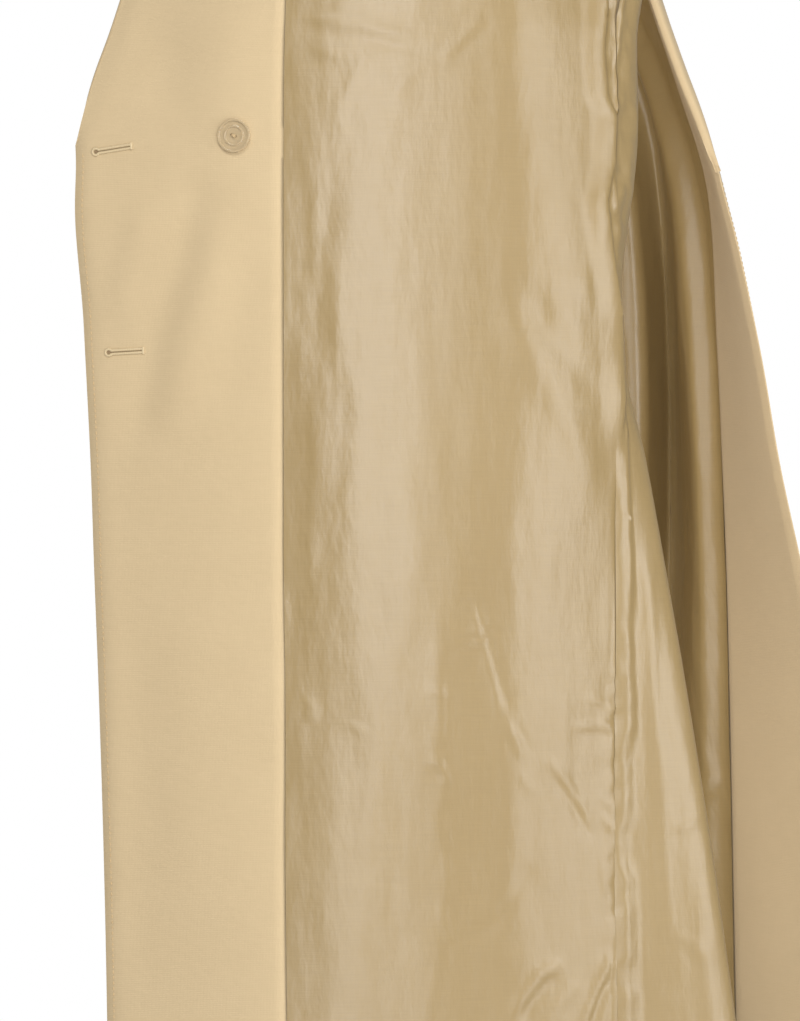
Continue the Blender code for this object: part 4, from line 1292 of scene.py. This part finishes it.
def drill(obj, places, radius, depth):
    """Thread holes through a button."""
    for x, y in places:
        bpy.ops.mesh.primitive_cylinder_add(vertices=20, radius=radius, depth=depth * 3,
                                            location=(x, y, depth / 2))
        bit = bpy.context.object
        apply(obj, "hole", "BOOLEAN", operation="DIFFERENCE", object=bit, solver="EXACT")
        bpy.data.objects.remove(bit, do_unlink=True)
    bpy.ops.object.select_all(action="DESELECT")


def lay_on(obj, point, normal, spin=0.0):
    """Moves a button's mesh so that its back lies at a point of the cloth, facing along normal."""
    turn = Vector(normal).to_track_quat("Z", "Y").to_matrix().to_4x4() @ Matrix.Rotation(spin, 4, "Z")
    obj.data.transform(Matrix.Translation(Vector(point) * MM) @ turn)
    obj.matrix_world = Matrix.Identity(4)
    obj.data.shade_smooth()
    obj.data.set_sharp_from_angle(angle=math.radians(40))


HOLE_PLACES = ((0.0019, 0.0019), (-0.0019, 0.0019), (-0.0019, -0.0019), (0.0019, -0.0019))


def threads_through(places, point, normal, spin, height, name):
    """Strands that cross from hole to hole, three side by side."""
    turn = Vector(normal).to_track_quat("Z", "Y").to_matrix() @ Matrix.Rotation(spin, 3, "Z")
    parts = []
    for (x0, y0), (x1, y1) in places:
        for strand in (-0.00035, 0, 0.00035):
            side = Vector((y1 - y0, x0 - x1, 0)).normalized() * strand
            path = []
            for t in np.linspace(0, 1, 9):
                rise = height + 0.0005 * math.sin(math.pi * t) - (0.0012 if t in (0.0, 1.0) else 0)
                local = Vector((x0 + t * (x1 - x0), y0 + t * (y1 - y0), rise)) + side
                path.append(np.array(turn @ local) / MM + np.array(point))
            parts.append(tube(path, 0.2, sides=6, up=normal))
    return wear(joined(name, parts, TAN_THREAD))


def build_buttons(coarse, facing):
    """Four horn-look buttons on the outside, and the clear one inside the right facing."""
    pattern = turned_disc("coat_button", 0.0125, 0.0034,
                          ((0.0018, 0), (0.0006, -0.0008), (0.0030, 0), (0.0006, -0.0004)), 0.00035, HORN)
    drill(pattern, HOLE_PLACES, 0.0009, 0.0034)
    for side, edge in (("right", "first"), ("left", "last")):
        for row, z in enumerate(BUTTON_ROWS_Z, 1):
            place, normal = along(*row_at(coarse[side], z, edge), BUTTON_FROM_EDGE)
            place = place + (SHELL_OUT + 0.9) * normal
            button = pattern.copy()
            button.data = pattern.data.copy()
            button.name = f"coat_button_{side}_{row}"
            bpy.context.scene.collection.objects.link(button)
            lay_on(button, place, normal)
            wear(button, f"button_{side}_{row}")
            strands = ((HOLE_PLACES[0], HOLE_PLACES[2]), (HOLE_PLACES[1], HOLE_PLACES[3]))
            threads_through(strands, place, normal, 0, 0.0022, f"button_thread_{side}_{row}")
    bpy.data.objects.remove(pattern, do_unlink=True)
    place, normal = along(*row_at(facing, BACKING_Z, "first"), BACKING_FROM_EDGE)
    place = place + 0.9 * normal
    clear = turned_disc("clear_backing_button", 0.0099, 0.0026,
                        ((0.0009, 0), (0.0004, -0.0009), (0.0021, 0), (0.0004, 0.0006), (0.0007, 0),
                         (0.0004, -0.0007)), 0.00022, CLEAR)
    pair = ((-0.0012, 0.0004), (0.0012, -0.0004))
    drill(clear, pair, 0.0008, 0.0026)
    lay_on(clear, place, normal)
    wear(clear, "backing_button")
    threads_through((pair, ((-0.0006, 0.0012), (0.0006, -0.0012))), place, normal, 0.3, 0.0014,
                    "backing_button_thread")


# ---------------------------------------------------------------- camera and studio

CAMERA_AT = (-2.815, 0.0572, -0.589)
LENS_MM = 152.8
SENSOR_MM = 36


def build_camera():
    """Level with the middle of the coat, straight at the wearer's right side, as the photograph was taken."""
    data = bpy.data.cameras.new("photo_camera")
    data.sensor_fit = "VERTICAL"
    data.sensor_height = SENSOR_MM
    data.lens = LENS_MM
    data.clip_end = 100
    camera = bpy.data.objects.new("photo_camera", data)
    camera.location = CAMERA_AT
    camera.rotation_euler = (math.radians(90), 0, math.radians(-90))
    bpy.context.scene.collection.objects.link(camera)
    bpy.context.scene.camera = camera


def area_light(name, place, target, size, watts):
    """A rectangular studio light at a place, turned to a target (metres)."""
    data = bpy.data.lights.new(name, "AREA")
    data.shape = "RECTANGLE"
    data.size, data.size_y = size
    data.energy = watts
    lamp = bpy.data.objects.new(name, data)
    lamp.location = place
    lamp.rotation_euler = (Vector(target) - Vector(place)).to_track_quat("-Z", "Y").to_euler()
    bpy.context.scene.collection.objects.link(lamp)
    return lamp


FLOOR_Z = -1.42
FLOOR_HALF = 2.6


def build_studio():
    """A pale floor, four large soft lights, and a small one inside the coat that the camera does not see."""
    mesh = bpy.data.meshes.new("studio_floor")
    corners = [(x * FLOOR_HALF, y * FLOOR_HALF, FLOOR_Z) for x, y in ((-1, -1), (1, -1), (1, 1), (-1, 1))]
    mesh.from_pydata(corners, [], [(0, 1, 2, 3)])
    floor = bpy.data.objects.new("studio_floor", mesh)
    bpy.context.scene.collection.objects.link(floor)
    pale = Nodes("pale_floor")
    mesh.materials.append(pale.finish({}, {"Base Color": (0.8, 0.8, 0.8, 1), "Roughness": 0.9}))
    world = bpy.data.worlds.new("studio")
    world.use_nodes = True
    tree = world.node_tree
    tree.nodes["Background"].inputs["Color"].default_value = (1, 1, 1, 1)
    seen = tree.nodes.new("ShaderNodeLightPath").outputs["Is Camera Ray"]
    strength = tree.nodes.new("ShaderNodeMapRange")
    strength.inputs["To Min"].default_value = 0.25
    strength.inputs["To Max"].default_value = 1.0
    tree.links.new(seen, strength.inputs["Value"])
    tree.links.new(strength.outputs[0], tree.nodes["Background"].inputs["Strength"])
    bpy.context.scene.world = world
    bpy.context.scene.view_settings.view_transform = "Standard"
    area_light("key", (-3.2, -0.09, -0.3), (-0.2, -0.09, -0.3), (1.15, 2.1), 44)
    area_light("front_fill", (-3.2, -1.38, -0.3), (-0.2, -1.38, -0.3), (1.45, 2.1), 23)
    area_light("side", (-1.4, -2.6, -0.5), (-0.2, -0.1, -0.6), (1.3, 1.8), 33)
    area_light("upper_left", (-2.5, 0.6, 1.5), (-0.1, -0.1, -0.6), (1.2, 0.8), 34)
    inner = area_light("inside_the_coat", (-0.14, 0.05, -0.54), (0.12, -0.15, -0.54), (0.10, 0.9), 0.8)
    inner.visible_camera = False


# ---------------------------------------------------------------- the whole coat

fine = build_panels(ROW_GAP, FINE_GAPS)
coarse = build_panels(SHELL_ROW_GAP, SHELL_GAPS)
build_shells(coarse)
facings = build_facings(fine)
build_linings(fine)
build_hems(coarse)
right_leaf = build_lapel("right_lapel_cloth", "right_lapel", coarse["right"], "first")
left_leaf = build_lapel("left_lapel_cloth", "left_lapel", coarse["left"], "last")
build_sleeve("left_sleeve_cloth", "left_sleeve", LEFT_ARMHOLE, LEFT_SLEEVE, 2.6, 61)
build_sleeve("right_sleeve_cloth", "right_sleeve", RIGHT_ARMHOLE, RIGHT_SLEEVE, 1.0, 71)
collar = build_collar()
build_topstitching(facings, coarse, (right_leaf, left_leaf), collar)
build_buttonholes(facings["right"], "inside")
right_outside = moved(coarse["right"], slice(None), SHELL_OUT)
build_buttonholes(Panel(right_outside, coarse["right"].normals, None), "outside")
build_buttons(coarse, facings["right"])
build_camera()
build_studio()
